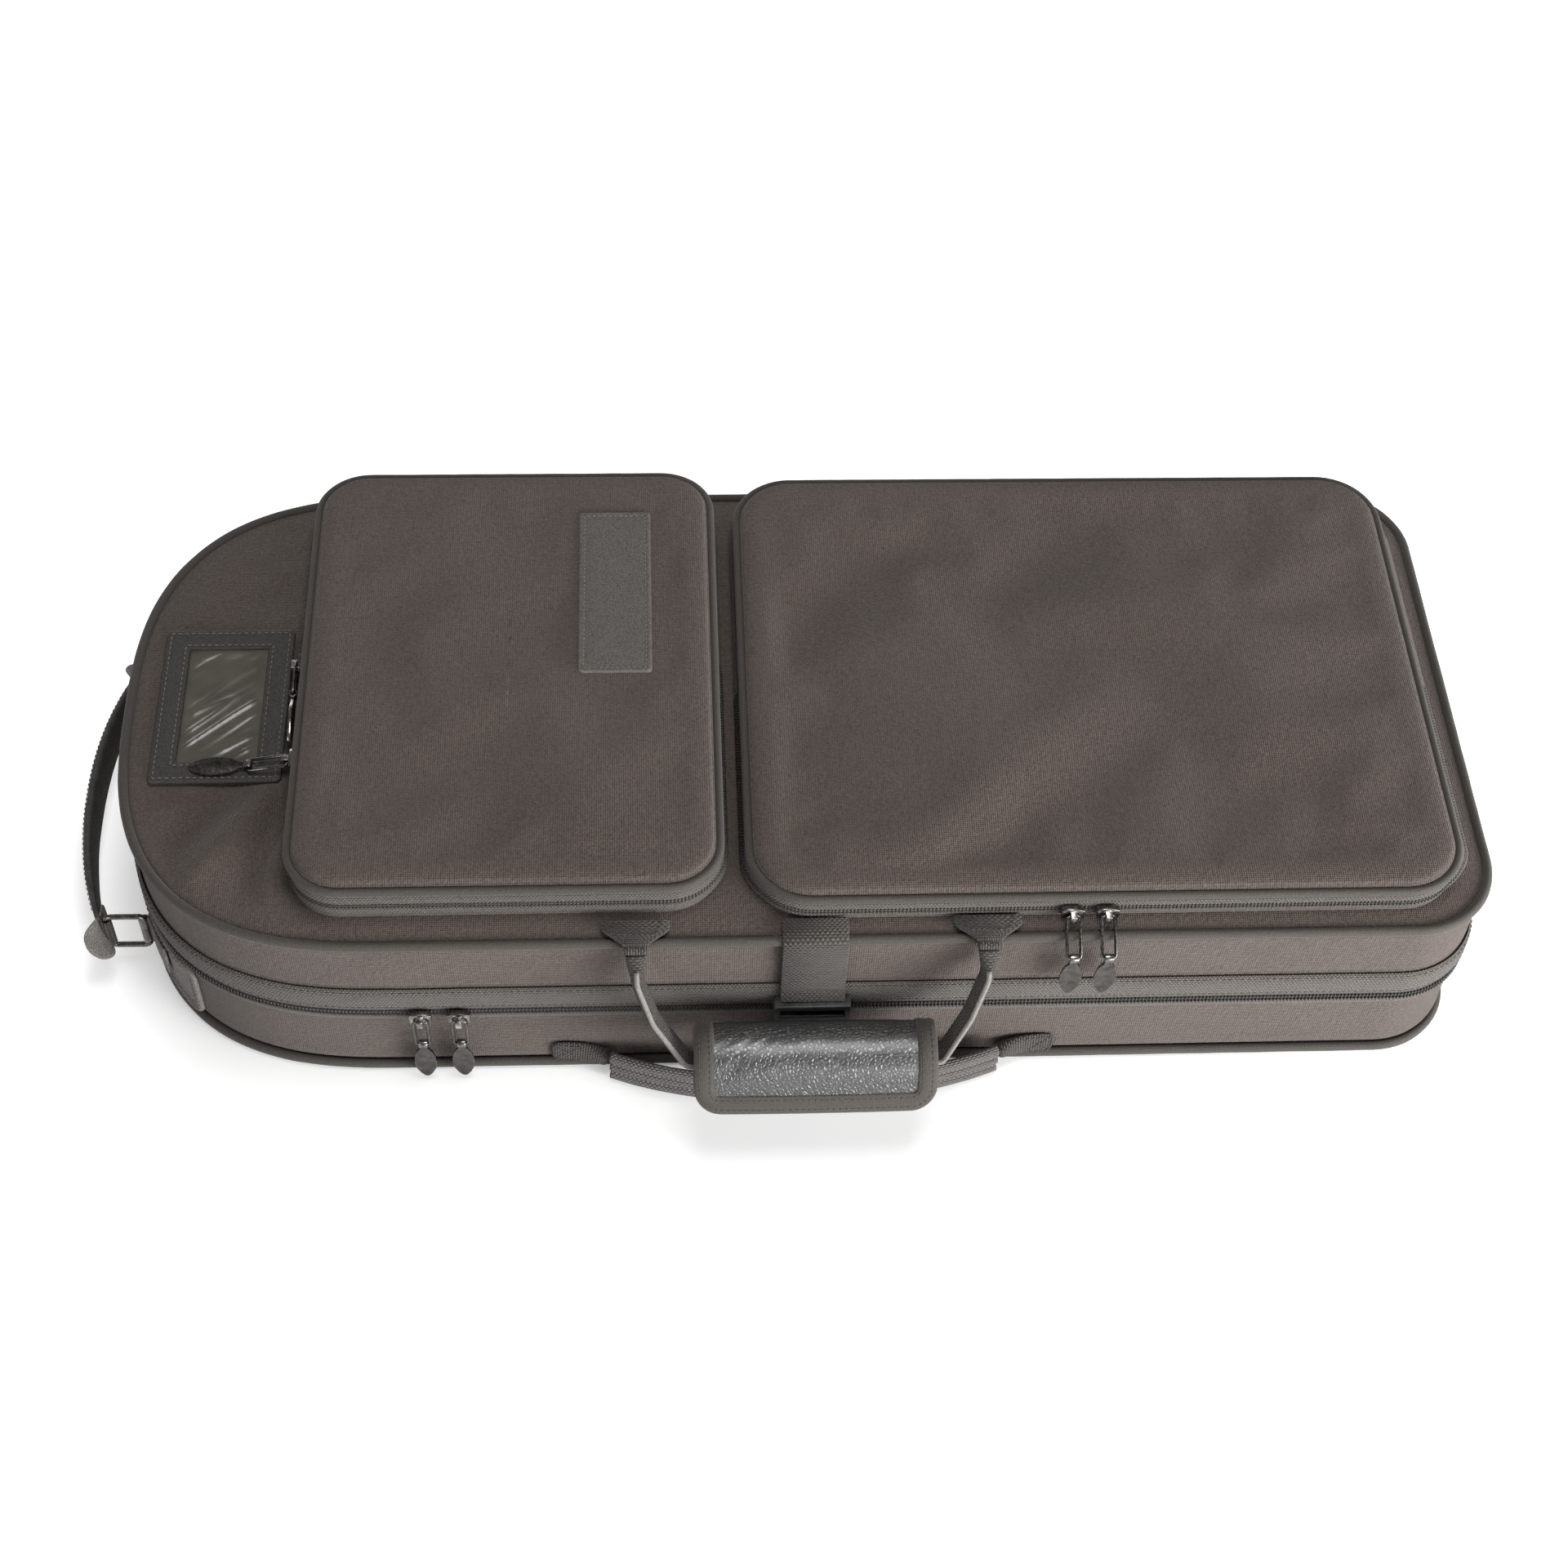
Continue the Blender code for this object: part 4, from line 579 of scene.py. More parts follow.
# How each finish is made; a word as a value names one of the scene's settings
NYLON = dict(colour="fabric_colour", spread=0.42, pitch="weave_pitch", depth=0.00028, contrast=0.6)
WEBBING = dict(pitch=0.0026, cross=0.0024, depth=0.00060, contrast=0.9)
FINISHES = {
    "nylon": ("cloth", "case nylon", NYLON),
    "side_nylon": ("cloth", "side nylon", dict(NYLON, own_map=True)),
    "piping": ("cloth", "piping cloth", dict(colour="piping_colour", spread=0.22, pitch=0.0009, depth=0.0001,
                                             roughness=0.7, own_map=True)),
    # The edging's pale colour is partly its own and partly a painted highlight along the strap's edges.
    "pale_edge": ("cloth", "pale edging", dict(colour=(0.19, 0.175, 0.165), spread=0.3, pitch=0.0010,
                                               depth=0.0001, roughness=0.65, own_map=True)),
    "band": ("ribbed", "ribbed zip band", dict(colour="band_colour", spread=0.50, pitch=0.0028, cross=0.0018,
                                               depth=0.00040, contrast=0.9)),
    "tape": ("ribbed", "zip tape", dict(colour="band_colour", spread=0.25, pitch=0.0011, cross=0.0011,
                                        depth=0.00012)),
    "webbing": ("ribbed", "coarse webbing", dict(WEBBING, colour="webbing_colour", spread=0.60)),
    # A lighter webbing colour for the ridged lower strap.
    "worn_webbing": ("ribbed", "worn webbing", dict(WEBBING, colour=(0.100, 0.092, 0.087), spread=0.55)),
    "leather": ("hide", "dark leather", dict(colour="leather_colour")),
    "label": ("hide", "label leather", dict(colour=(0.125, 0.112, 0.100), roughness=0.55)),
    "trim": ("hide", "pale trim leather", dict(colour=(0.200, 0.184, 0.170), scale=700.0, depth=0.00012)),
    "grip_leather": ("hide", "black grip leather", dict(colour="grip_colour", scale=480.0, depth=0.00040,
                                                        roughness=0.38, wrinkles=0.04, coat=1.0, shine=1.0,
                                                        varnish=0.34)),
    "coil": ("mottled", "zip coil", dict(dark=(0.022, 0.021, 0.019), light=(0.05, 0.048, 0.043),
                                         roughness=0.45, scale=600.0, depth=0.0)),
    "thread": ("mottled", "pale thread", dict(dark=(0.10, 0.094, 0.084), light=(0.24, 0.225, 0.20))),
    "dark_thread": ("mottled", "dark thread", dict(dark=(0.028, 0.026, 0.024), light=(0.075, 0.070, 0.064))),
    "metal": ("metal", "gunmetal plating", {}),
    "plastic": ("plastic", "black acetal", {}),
    "vinyl": ("vinyl", "clear vinyl", {}),
    "plush": ("plush", "plush lining", {}),
    "floor": ("floor", "pale floor", {}),
}


class Finishes:
    """The case's materials, made once and shared by the pieces."""

    def __init__(self, look):
        self.look = look
        self.groups = {"threads": thread_group(), "tone": tone_group(), "ribs": rib_group(),
                       "grain": grain_group(), "wear": wear_group()}
        self.made = {}

    def __getitem__(self, name):
        if name not in self.made:
            maker, label, values = FINISHES[name]
            values = {key: getattr(self.look, value) if isinstance(value, str) else value
                      for key, value in values.items()}
            self.made[name] = getattr(self, maker)(label, **values)
        return self.made[name]

    def start(self, name, roughness, **constants):
        material = bpy.data.materials.new(name)
        material.use_nodes = True
        shader = material.node_tree.nodes["Principled BSDF"]
        shader.inputs["Roughness"].default_value = roughness
        for socket, value in constants.items():
            shader.inputs[socket.replace("_", " ")].default_value = value
        return material, Nodes(material.node_tree), shader

    def use(self, nodes, name, **values):
        return nodes.add("Group", node_tree=self.groups[name], **values).outputs

    def bump(self, nodes, shader, height, distance):
        made = nodes.add("Bump", Strength=1.0, Distance=distance, Height=height)
        nodes.feed(shader.inputs["Normal"], made.outputs[0])

    def weave(self, nodes, shader, threads, colour, spread, depth, contrast):
        """Colour and relief from a group's threads."""
        dark, light = [tuple(value * (1 + change) for value in colour) for change in (-spread, spread)]
        tone = self.use(nodes, "tone", Place=nodes.place(), Dark=dark, Light=light, Thread=threads["Thread"],
                        Contrast=contrast)
        nodes.feed(shader.inputs["Base Color"], tone["Color"])
        self.bump(nodes, shader, threads["Height"], depth)

    def cloth(self, name, colour, spread, pitch, depth, roughness=0.88, own_map=False, contrast=0.35):
        material, nodes, shader = self.start(name, roughness, Sheen_Weight=0.12, Sheen_Roughness=0.6,
                                             Specular_IOR_Level=0.25)
        if own_map:
            given = {"Place": nodes.add("UVMap", uv_map="cloth").outputs[0]}
        else:
            given = {"Place": nodes.place(), "Facing": nodes.add("TexCoord").outputs["Normal"]}
        threads = self.use(nodes, "threads", Pitch=pitch, Unevenness=0.35, **given)
        self.weave(nodes, shader, threads, colour, spread, depth, contrast)
        return material

    def ribbed(self, name, colour, spread, pitch, cross, depth, contrast=0.5):
        material, nodes, shader = self.start(name, 0.8, Sheen_Weight=0.1, Specular_IOR_Level=0.3)
        place = nodes.add("UVMap", uv_map="cloth").outputs[0]
        threads = self.use(nodes, "ribs", Place=place, Pitch=pitch, Cross=cross)
        self.weave(nodes, shader, threads, colour, spread, depth, contrast)
        return material

    def hide(self, name, colour, scale=900.0, depth=0.00010, roughness=0.5, wrinkles=0.3, coat=0.0, shine=0.5,
             varnish=0.24):
        material, nodes, shader = self.start(name, roughness, Coat_Weight=coat, Coat_Roughness=varnish,
                                             Coat_IOR=1.55, Specular_IOR_Level=shine)
        place = nodes.place()
        grain = self.use(nodes, "grain", Place=place, Scale=scale, Wrinkles=wrinkles)
        worn = self.use(nodes, "wear", Place=place, Start=0.53, End=0.62)
        # Painted shade: the colour darkens to 0.45 of itself in the creases between the pebbles; rubbed edges
        # are paler.
        deep = tuple(value * 0.45 for value in colour)
        pale = tuple(min(value * 2.2 + 0.012, 1) for value in colour)
        body = nodes.mix(grain["Crease"], deep, colour)
        nodes.feed(shader.inputs["Base Color"], nodes.mix(nodes.math("MULTIPLY", worn["Mask"], 0.5), body,
                                                          pale))
        smooth = nodes.limits(grain["Crease"], 0.0, 1.0, min(roughness + 0.25, 1.0), roughness)
        nodes.feed(shader.inputs["Roughness"], smooth)
        self.bump(nodes, shader, grain["Height"], depth)
        return material

    def mottled(self, name, dark, light, roughness=0.75, scale=1500.0, depth=0.0001):
        material, nodes, shader = self.start(name, roughness)
        mottle = nodes.noise(nodes.place(), scale)
        nodes.feed(shader.inputs["Base Color"], nodes.mix(mottle, dark, light))
        if depth:
            self.bump(nodes, shader, mottle, depth)
        return material

    def metal(self, name):
        material, nodes, shader = self.start(name, 0.24, Metallic=1.0)
        place = nodes.place()
        worn = self.use(nodes, "wear", Place=place, Start=0.52, End=0.62)
        mottle = nodes.limits(nodes.noise(place, 240.0, 4.0), 0.3, 0.7)
        plated = nodes.mix(mottle, (0.070, 0.066, 0.062), (0.150, 0.142, 0.134))
        nodes.feed(shader.inputs["Base Color"], nodes.mix(worn["Mask"], plated, (0.62, 0.60, 0.57)))
        nodes.feed(shader.inputs["Roughness"], nodes.limits(nodes.noise(place, 700.0), 0.3, 0.7, 0.16, 0.34))
        self.bump(nodes, shader, nodes.noise(place, 520.0), 0.00005)
        return material

    def plastic(self, name):
        material, nodes, shader = self.start(name, 0.36)
        place = nodes.place()
        worn = self.use(nodes, "wear", Place=place, Start=0.53, End=0.63)
        nodes.feed(shader.inputs["Base Color"], nodes.mix(worn["Mask"], (0.013, 0.013, 0.014),
                                                          (0.06, 0.06, 0.06)))
        nodes.feed(shader.inputs["Roughness"], nodes.limits(nodes.noise(place, 130.0), 0.3, 0.7, 0.30, 0.46))
        self.bump(nodes, shader, nodes.noise(place, 1900.0), 0.00004)
        return material

    def vinyl(self, name):
        material, nodes, shader = self.start(name, 0.30, Coat_Weight=0.35, Coat_Roughness=0.20)
        place = nodes.place()
        haze = nodes.limits(nodes.noise(place, 70.0, 4.0, 0.6), 0.35, 0.7)
        nodes.feed(shader.inputs["Base Color"], nodes.mix(haze, (0.070, 0.060, 0.048), (0.105, 0.092, 0.074)))
        self.bump(nodes, shader, nodes.noise(place, 60.0, 2.0), 0.0003)
        return material

    def plush(self, name):
        material, nodes, shader = self.start(name, 0.95, Sheen_Weight=0.8, Sheen_Roughness=0.35)
        place = nodes.place()
        nap = nodes.noise(place, 1400.0, rough=0.7)
        stroke = nodes.limits(nodes.noise(place, 16.0, 4.0), 0.3, 0.7)
        shade = nodes.mix(stroke, (0.018, 0.016, 0.019), (0.040, 0.036, 0.042))
        nodes.feed(shader.inputs["Base Color"], nodes.mix(nap, shade, (0.052, 0.047, 0.054)))
        self.bump(nodes, shader, nap, 0.0005)
        return material

    def floor(self, name):
        """A pale floor that glows white to the camera, less so near the case, where it keeps the shadow."""
        material, nodes, shader = self.start(name, 0.85)
        grain = nodes.noise(nodes.place(), 40.0)
        nodes.feed(shader.inputs["Base Color"], nodes.mix(grain, (0.86, 0.86, 0.86), (0.90, 0.90, 0.90)))
        centre, near, far, dimmed = (-0.05, -0.30, 0.0), 0.30, 0.80, 0.27
        away = nodes.add("VectorMath", nodes.place(), centre, operation="DISTANCE").outputs["Value"]
        seen = nodes.math("MULTIPLY", nodes.add("LightPath").outputs["Is Camera Ray"],
                          nodes.limits(away, near, far, dimmed, 1.0))
        glow = nodes.add("Emission", Strength=seen)
        both = nodes.add("AddShader", shader.outputs[0], glow.outputs[0])
        nodes.feed(nodes.tree.nodes["Material Output"].inputs["Surface"], both.outputs[0])
        return material


LOOKS = {}


def settings():
    return bpy.context.scene.bassoon_case


def looks():
    """The materials, made from the scene's settings when the first piece needs one."""
    if "made" not in LOOKS:
        LOOKS["made"] = Finishes(settings())
    return LOOKS["made"]


CASE = case_outline(420)
# Folds of the slack cloth: start, end, half width and height, in metres
SMALL_FOLDS = [((-0.230, -0.112), (-0.160, -0.085), 0.012, 0.0006),
               ((-0.12, -0.10), (-0.06, -0.112), 0.012, 0.0006),
               ((-0.200, 0.02), (-0.110, -0.05), 0.030, 0.0007),
               ((-0.215, 0.095), (-0.14, 0.06), 0.025, 0.0006)]
LARGE_FOLDS = [((0.035, -0.125), (0.150, -0.015), 0.018, 0.0026),
               ((0.065, -0.128), (0.180, -0.040), 0.017, -0.0019),
               ((-0.010, -0.01), (0.080, 0.050), 0.020, 0.0017),
               ((-0.015, 0.025), (0.07, 0.095), 0.017, -0.0018), ((0.13, 0.08), (0.22, 0.02), 0.030, 0.0012),
               ((0.19, -0.04), (0.27, -0.09), 0.026, -0.0009),
               ((-0.01, -0.10), (0.010, 0.06), 0.018, -0.0017), ((0.08, 0.03), (0.17, 0.11), 0.030, -0.0012)]
WINDOW_DRAGS = [((-0.262, -0.053), (-0.300, -0.110), 0.007, 0.0044),
                ((-0.254, -0.056), (-0.272, -0.110), 0.007, -0.0056),
                ((-0.284, -0.052), (-0.314, -0.094), 0.009, -0.0040),
                ((-0.330, -0.056), (-0.324, -0.086), 0.006, -0.0022)]


def outside(point):
    """1 on the outer faces of the case, 0 within its walls."""
    wall = 3 * MM
    if abs(point.y) > HALF_WIDTH - wall or point.x > RIGHT_END - wall:
        return 1.0
    if point.x < ROUND_END_X:
        depth = (ROUND_END_X - point.x) / (ROUND_END_DEPTH - wall)
        side = abs(point.y) / (HALF_WIDTH - wall)
        return 1.0 if depth ** ROUND_END_POWER + side ** ROUND_END_POWER > 1 else 0.0
    away = Vector((point.x - RIGHT_END + CORNER_RADIUS, abs(point.y) - HALF_WIDTH + CORNER_RADIUS))
    return 1.0 if away.x > 0 and away.y > 0 and away.length > CORNER_RADIUS - wall else 0.0


class CASE_OT_base_cover(bpy.types.Operator):
    """Makes the fabric covered base tub with its bound rim"""

    bl_idname = "case.base_cover"
    bl_label = "Base cover"

    def execute(self, context):
        profile = [(-5.95, 6.3), (-5.95, 30), (-5.95, 49), (-5.95, 52.6), (-5.3, 53.2), (-4.6, 53.35),
                   (-1.4, 53.35), (-0.7, 53.2), (-0.2, 52.6), (-0.05, 50), (-0.25, 47.4)]
        for height in (46.2, 44.5, 42, 38.5, 34, 29, 24, 19.5, 16, 13, 10.8, 9.2, 8.0, 7.2):
            pinch = 1.5 * math.exp((7.0 - height) / 2.6) + 0.55 * math.exp((height - 47.3) / 2.4)
            profile.append((-pinch, height))
        profile += [(-2.3, 6.8), (-2.9, 6.3), (-2.9, 3.5), (-2.9, 0.9), (-3.2, 0.25), (-4.2, 0.0), (-9, 0.0)]
        mesh = shell(CASE.rows(profile), around=True)
        ripple(mesh, settings().slack * 0.55, 26.0, lambda p: within(
            p.z, (0.008, 0.014), (0.042, 0.047)) * (0.0135 < p.z < 0.0465) * outside(p))
        piece = finish("base_cover", mesh, "side_nylon", "base", ["base_shell"])
        return {"FINISHED"}


class CASE_OT_lid_cover(bpy.types.Operator):
    """Makes the padded lid cover with its slack top"""

    bl_idname = "case.lid_cover"
    bl_label = "Lid cover"

    def execute(self, context):
        slack, per_metre = settings().slack, 30
        roll_drop, roll_start, roll_reach = 4.2 * MM, 4.6 * MM, 8 * MM
        profile = [(-5, 107.9), (-5, 80), (-5, 56), (-4.9, 54.4), (-4.3, 53.8), (-1.4, 53.65), (-0.5, 53.8),
                   (-0.1, 54.6), (-0.05, 58), (-0.05, 66), (-0.1, 72.4), (-0.6, 73.8), (-0.75, 74.6)]
        for height in (75.6, 77, 79, 82, 86, 90, 94, 98, 101, 103, 104.6):
            pinch = 0.75 * math.exp((74.6 - height) / 2.4) + 1.4 * math.exp((height - 106.2) / 2.2)
            profile.append((-pinch, height))
        profile += [(-1.9, 106.1), (-2.2, 106.7), (-2.2, 108.4), (-2.25, 109.5), (-3.0, 110.2),
                    (-4.6, 110.55)]
        rows = CASE.rows(profile)

        def height(place, share, start):
            """The top's height: rolled down to the piping, waved by its slack, dragged by the name window."""
            wave = clamp(0.5 + 0.5 * waves(place.x * per_metre, place.y * per_metre, 4.0))
            rest = 0.35 + 0.9 * (1 - soft_step(place.x, -0.255, -0.200))
            rolled = roll_drop * math.exp(-(roll_start + share * HALF_WIDTH) / roll_reach)
            waved = TOP - 0.1 * MM - rolled - wave * slack * rest * soft_step(share, 0.0, 0.08)
            return min(waved + fold_height(place, WINDOW_DRAGS) * soft_step(share, 0.0, 0.05), TOP + 2.4 * MM)

        rows += top_rows(rows[-1], ((ROUND_END_X, 0), (RIGHT_END - HALF_WIDTH, 0)), height, 46)
        mesh = shell(rows, around=True, pinch=2.2)
        ripple(mesh, slack * 0.6, 24.0, lambda p: within(p.z, (0.076, 0.081), (0.100, 0.104)) * outside(p),
               seed=3.0)
        piece = finish("lid_cover", mesh, "nylon", "lid", ["lid_shell"])
        return {"FINISHED"}


class CASE_OT_pipings(bpy.types.Operator):
    """Makes the cloth covered cords along the edges of the base and the lid"""

    bl_idname = "case.pipings"
    bl_label = "Case piping"

    def execute(self, context):
        for body, height in (("base", BASE_CORD), ("lid", LID_CORD)):
            cord(f"{body}_cord", CASE, height, CORD_RADIUS, body, f"{body}_piping", 0.25, 60.0, height * MM)
        return {"FINISHED"}


def zip_outline(count=600):
    """The zip's path round the case, from one end of the fabric hinge to the other."""
    points = CASE.points
    start, end = [min(range(len(points)), key=lambda i: (points[i] - Vector((x, HALF_WIDTH))).length)
                  for x in (HINGE_RIGHT + 2 * MM, HINGE_LEFT - 2 * MM)]
    return Outline(points[start:end + 1] if end > start else points[start:] + points[:end + 1], count)


def zip_teeth(path, out, height, length, width, thickness):
    """Half of a zip's coil along a path; sizes in mm."""
    teeth = bmesh.new()
    add_beads(teeth, path.row(out, height), outward, settings().tooth_pitch / MM, length, width, thickness,
              across=True, rings=3)
    return teeth


class CASE_OT_main_zip(bpy.types.Operator):
    """Makes the tapes, coil teeth and ribbed rain flap of the main zip"""

    bl_idname = "case.main_zip"
    bl_label = "Main zip"

    def execute(self, context):
        path = zip_outline()
        for body, low, high, tooth in (("base", 47.4, 53.3, 52.1), ("lid", 53.7, 61.0, 54.9)):
            finish(f"{body}_tape", tape(path, 0.1, 0.9, 1.1, low, high, 0.2), "tape", body,
                   [f"{body}_zip_tape"])
            finish(f"{body}_teeth", zip_teeth(path, 1.75, tooth, 2.7, 1.1, 1.6), "coil", body)
        mesh = band(path, [(0.15, 73.3), (1.3, 73.0), (1.75, 72.2), (1.85, 71.0), (2.35, 69.8), (2.6, 66),
                           (2.65, 63), (2.5, 60.4), (2.1, 59.3), (1.9, 58.5), (1.4, 58.3), (1.35, 59.2),
                           (1.3, 66), (0.2, 70)])
        ripple(mesh, 0.35 * MM, 40.0, lambda p: soft_step(p.z, 0.0590, 0.062), seed=9.0)
        finish("rain_flap", mesh, "band", "lid", ["lid_zip_flap"])
        sew("rain_flap_seams", path.rows([(1.95, 71.4), (2.42, 59.9)]), outward, "dark_thread", "lid",
            3.2, 2.5, 0.55)
        return {"FINISHED"}


class CASE_OT_hinge_strip(bpy.types.Operator):
    """Makes the fabric strip that joins lid and base along the rear"""

    bl_idname = "case.hinge_strip"
    bl_label = "Fabric hinge"

    def execute(self, context):
        near, thickness = HALF_WIDTH + 0.25 * MM, 2.45 * MM
        heights, columns = spread(36.0, 71.0, 28), spread(HINGE_LEFT, HINGE_RIGHT, 160)
        rows = []
        for height in heights:
            edge = min(soft_step(height, 35.0, 39.0), 1 - soft_step(height, 68.0, 72.0))
            crease = 0.9 * MM * math.exp(-((height - 53.5) / 1.6) ** 2)
            out = near + thickness * (0.45 + 0.55 * edge) - crease
            rows.append([Vector((x, out + 0.15 * MM * noise.noise(Vector((x * 60, height * 0.2, 0))),
                                 height * MM))
                         for x in columns])
        rows += [[Vector((x, near, height * MM)) for x in columns] for height in reversed(heights)]
        finish("hinge_strip", shell(rows, along=True), "side_nylon", "base",
               ["base_spine", "lid_spine"], blend=("lid", (0, HALF_WIDTH, 51.0 * MM),
                                                   (0, HALF_WIDTH, 56.0 * MM)))
        for body, height in (("base", 38.5 * MM), ("lid", 68.5 * MM)):
            row = [Vector((x, HALF_WIDTH + 2.65 * MM, height)) for x in columns[2:-2]]
            sew(f"hinge_seam_{body}", [row], Y, "dark_thread", body, 3.4, 2.6, 0.55)
        return {"FINISHED"}


class Pocket:
    """A pocket's plan, its top and seam levels, zip ends and the lean of its side walls, given in mm."""

    def __init__(self, label=None, **sizes):
        for name, size in sizes.items():
            setattr(self, name, size * MM)
        self.label = label and [size * MM for size in label]
        self.width, self.length = self.right - self.left, self.rear - self.front
        self.middle = Vector(((self.left + self.right) / 2, (self.front + self.rear) / 2))
        self.outline = rounded_box(self.left, self.right, self.front, self.rear, self.radius, 320)

    def spine(self):
        """The middle line that the top's rows run in to."""
        reach = abs(self.width - self.length) / 2
        reach = Vector((reach, 0)) if self.width > self.length else Vector((0, reach))
        return self.middle - reach, self.middle + reach

    def depth(self, place):
        """How far a place lies inside the rounded outline."""
        across = abs(place.x - self.middle.x) - self.width / 2 + self.radius
        along = abs(place.y - self.middle.y) - self.length / 2 + self.radius
        return self.radius - math.hypot(max(across, 0.0), max(along, 0.0)) - min(max(across, along), 0.0)

    def lean(self, mesh, top):
        """Lets the side walls lean out below a height in mm towards the lid, as slack gussets do."""
        near, far, skin, wall = 4 * MM, 34 * MM, 3 * MM, 9 * MM
        for vert in mesh.verts:
            low = (top * MM - vert.co.z) / (top * MM - TOP)
            if low > 0:
                ends = within(vert.co.y, (self.front + near, self.front + far),
                              (self.rear - far, self.rear - near))
                ease = min(low, 1.0) ** 0.8 * ends
                right = soft_step(vert.co.x, self.right - wall, self.right - skin)
                vert.co.x += self.lean_right * ease * right
                left = 1 - soft_step(vert.co.x, self.left + skin, self.left + wall)
                vert.co.x -= self.lean_left * ease * left
        return mesh

    def beside_label(self, place):
        """How far a place on the top lies outside the sewn-on label, if there is one."""
        if not self.label:
            return 1.0
        left, right, front, rear = self.label
        return max(left - place.x, place.x - right, front - place.y, place.y - rear, 0.0)

    def zip_path(self):
        """The zip's open path: right wall, front and left wall."""
        low = self.front + self.radius
        points = [Vector((self.right, self.zip_right))]
        points += arc((self.right - self.radius, low), self.radius, 0, -90, 16)
        points += arc((self.left + self.radius, low), self.radius, -90, -180, 16)
        points.append(Vector((self.left, self.zip_left)))
        return Outline(points, 300)


SMALL_POCKET = Pocket(left=-249.5, right=-41.5, front=-130.5, rear=142.5, radius=26, top=136, seam=121,
                      zip_right=17, zip_left=54, lean_left=0, lean_right=4, label=(-111, -73.5, 0, 111))
LARGE_POCKET = Pocket(left=-27.5, right=321.5, front=-135.5, rear=141.5, radius=30, top=131, seam=118,
                      zip_right=0, zip_left=0, lean_left=4, lean_right=9)


def settled_cloth(pocket, surface, growth):
    """Simulates a cover's slack top, held round its edge; returns the rise at a place."""
    scene = bpy.context.scene
    spacing, frames, most, held_edge, free_edge = 5 * MM, 20, 6 * MM, 8 * MM, 20 * MM
    columns, lines = round(pocket.width / spacing), round(pocket.length / spacing)
    mesh = bmesh.new()
    bmesh.ops.create_grid(mesh, x_segments=columns, y_segments=lines, size=1)
    verts = sorted(mesh.verts, key=lambda vert: (round(vert.co.y, 5), round(vert.co.x, 5)))
    for order, vert in enumerate(verts):
        place = Vector((pocket.left + (vert.co.x + 1) / 2 * pocket.width,
                        pocket.front + (vert.co.y + 1) / 2 * pocket.length))
        vert.co = (place.x, place.y, surface(place))
        vert.index = order
    mesh.verts.sort()
    data = bpy.data.meshes.new("settling")
    mesh.to_mesh(data)
    mesh.free()
    cloth = bpy.data.objects.new("settling", data)
    scene.collection.objects.link(cloth)
    held = cloth.vertex_groups.new(name="held")
    start = [vert.co.copy() for vert in data.vertices]
    for order, place in enumerate(start):
        held.add([order], 1.0 - soft_step(pocket.depth(place), held_edge, free_edge), "REPLACE")
    change = cloth.modifiers.new("cloth", "CLOTH")
    for name, value in dict(quality=6, mass=0.2, tension_stiffness=12, compression_stiffness=12,
                            bending_stiffness=4.0, use_pressure=True, uniform_pressure_force=0.2,
                            shrink_min=-growth, vertex_group_mass="held").items():
        setattr(change.settings, name, value)
    change.settings.effector_weights.gravity = 0
    change.collision_settings.use_collision = False
    for frame_number in range(1, frames + 1):
        scene.frame_set(frame_number)
    settled = cloth.evaluated_get(bpy.context.evaluated_depsgraph_get())
    rises = [most * math.tanh((end.co.z - place.z) / most)
             for end, place in zip(settled.to_mesh().vertices, start)]
    settled.to_mesh_clear()
    bpy.data.objects.remove(cloth)
    bpy.data.meshes.remove(data)
    scene.frame_set(1)
    inside = 0.99999

    def rise(place):
        x = clamp((place.x - pocket.left) / pocket.width, 0.0, inside) * columns
        y = clamp((place.y - pocket.front) / pocket.length, 0.0, inside) * lines
        first = int(y) * (columns + 1) + int(x)
        low, high = [rises[left] + (rises[left + 1] - rises[left]) * (x - int(x))
                     for left in (first, first + columns + 1)]
        return low + (high - low) * (y - int(y))

    return rise


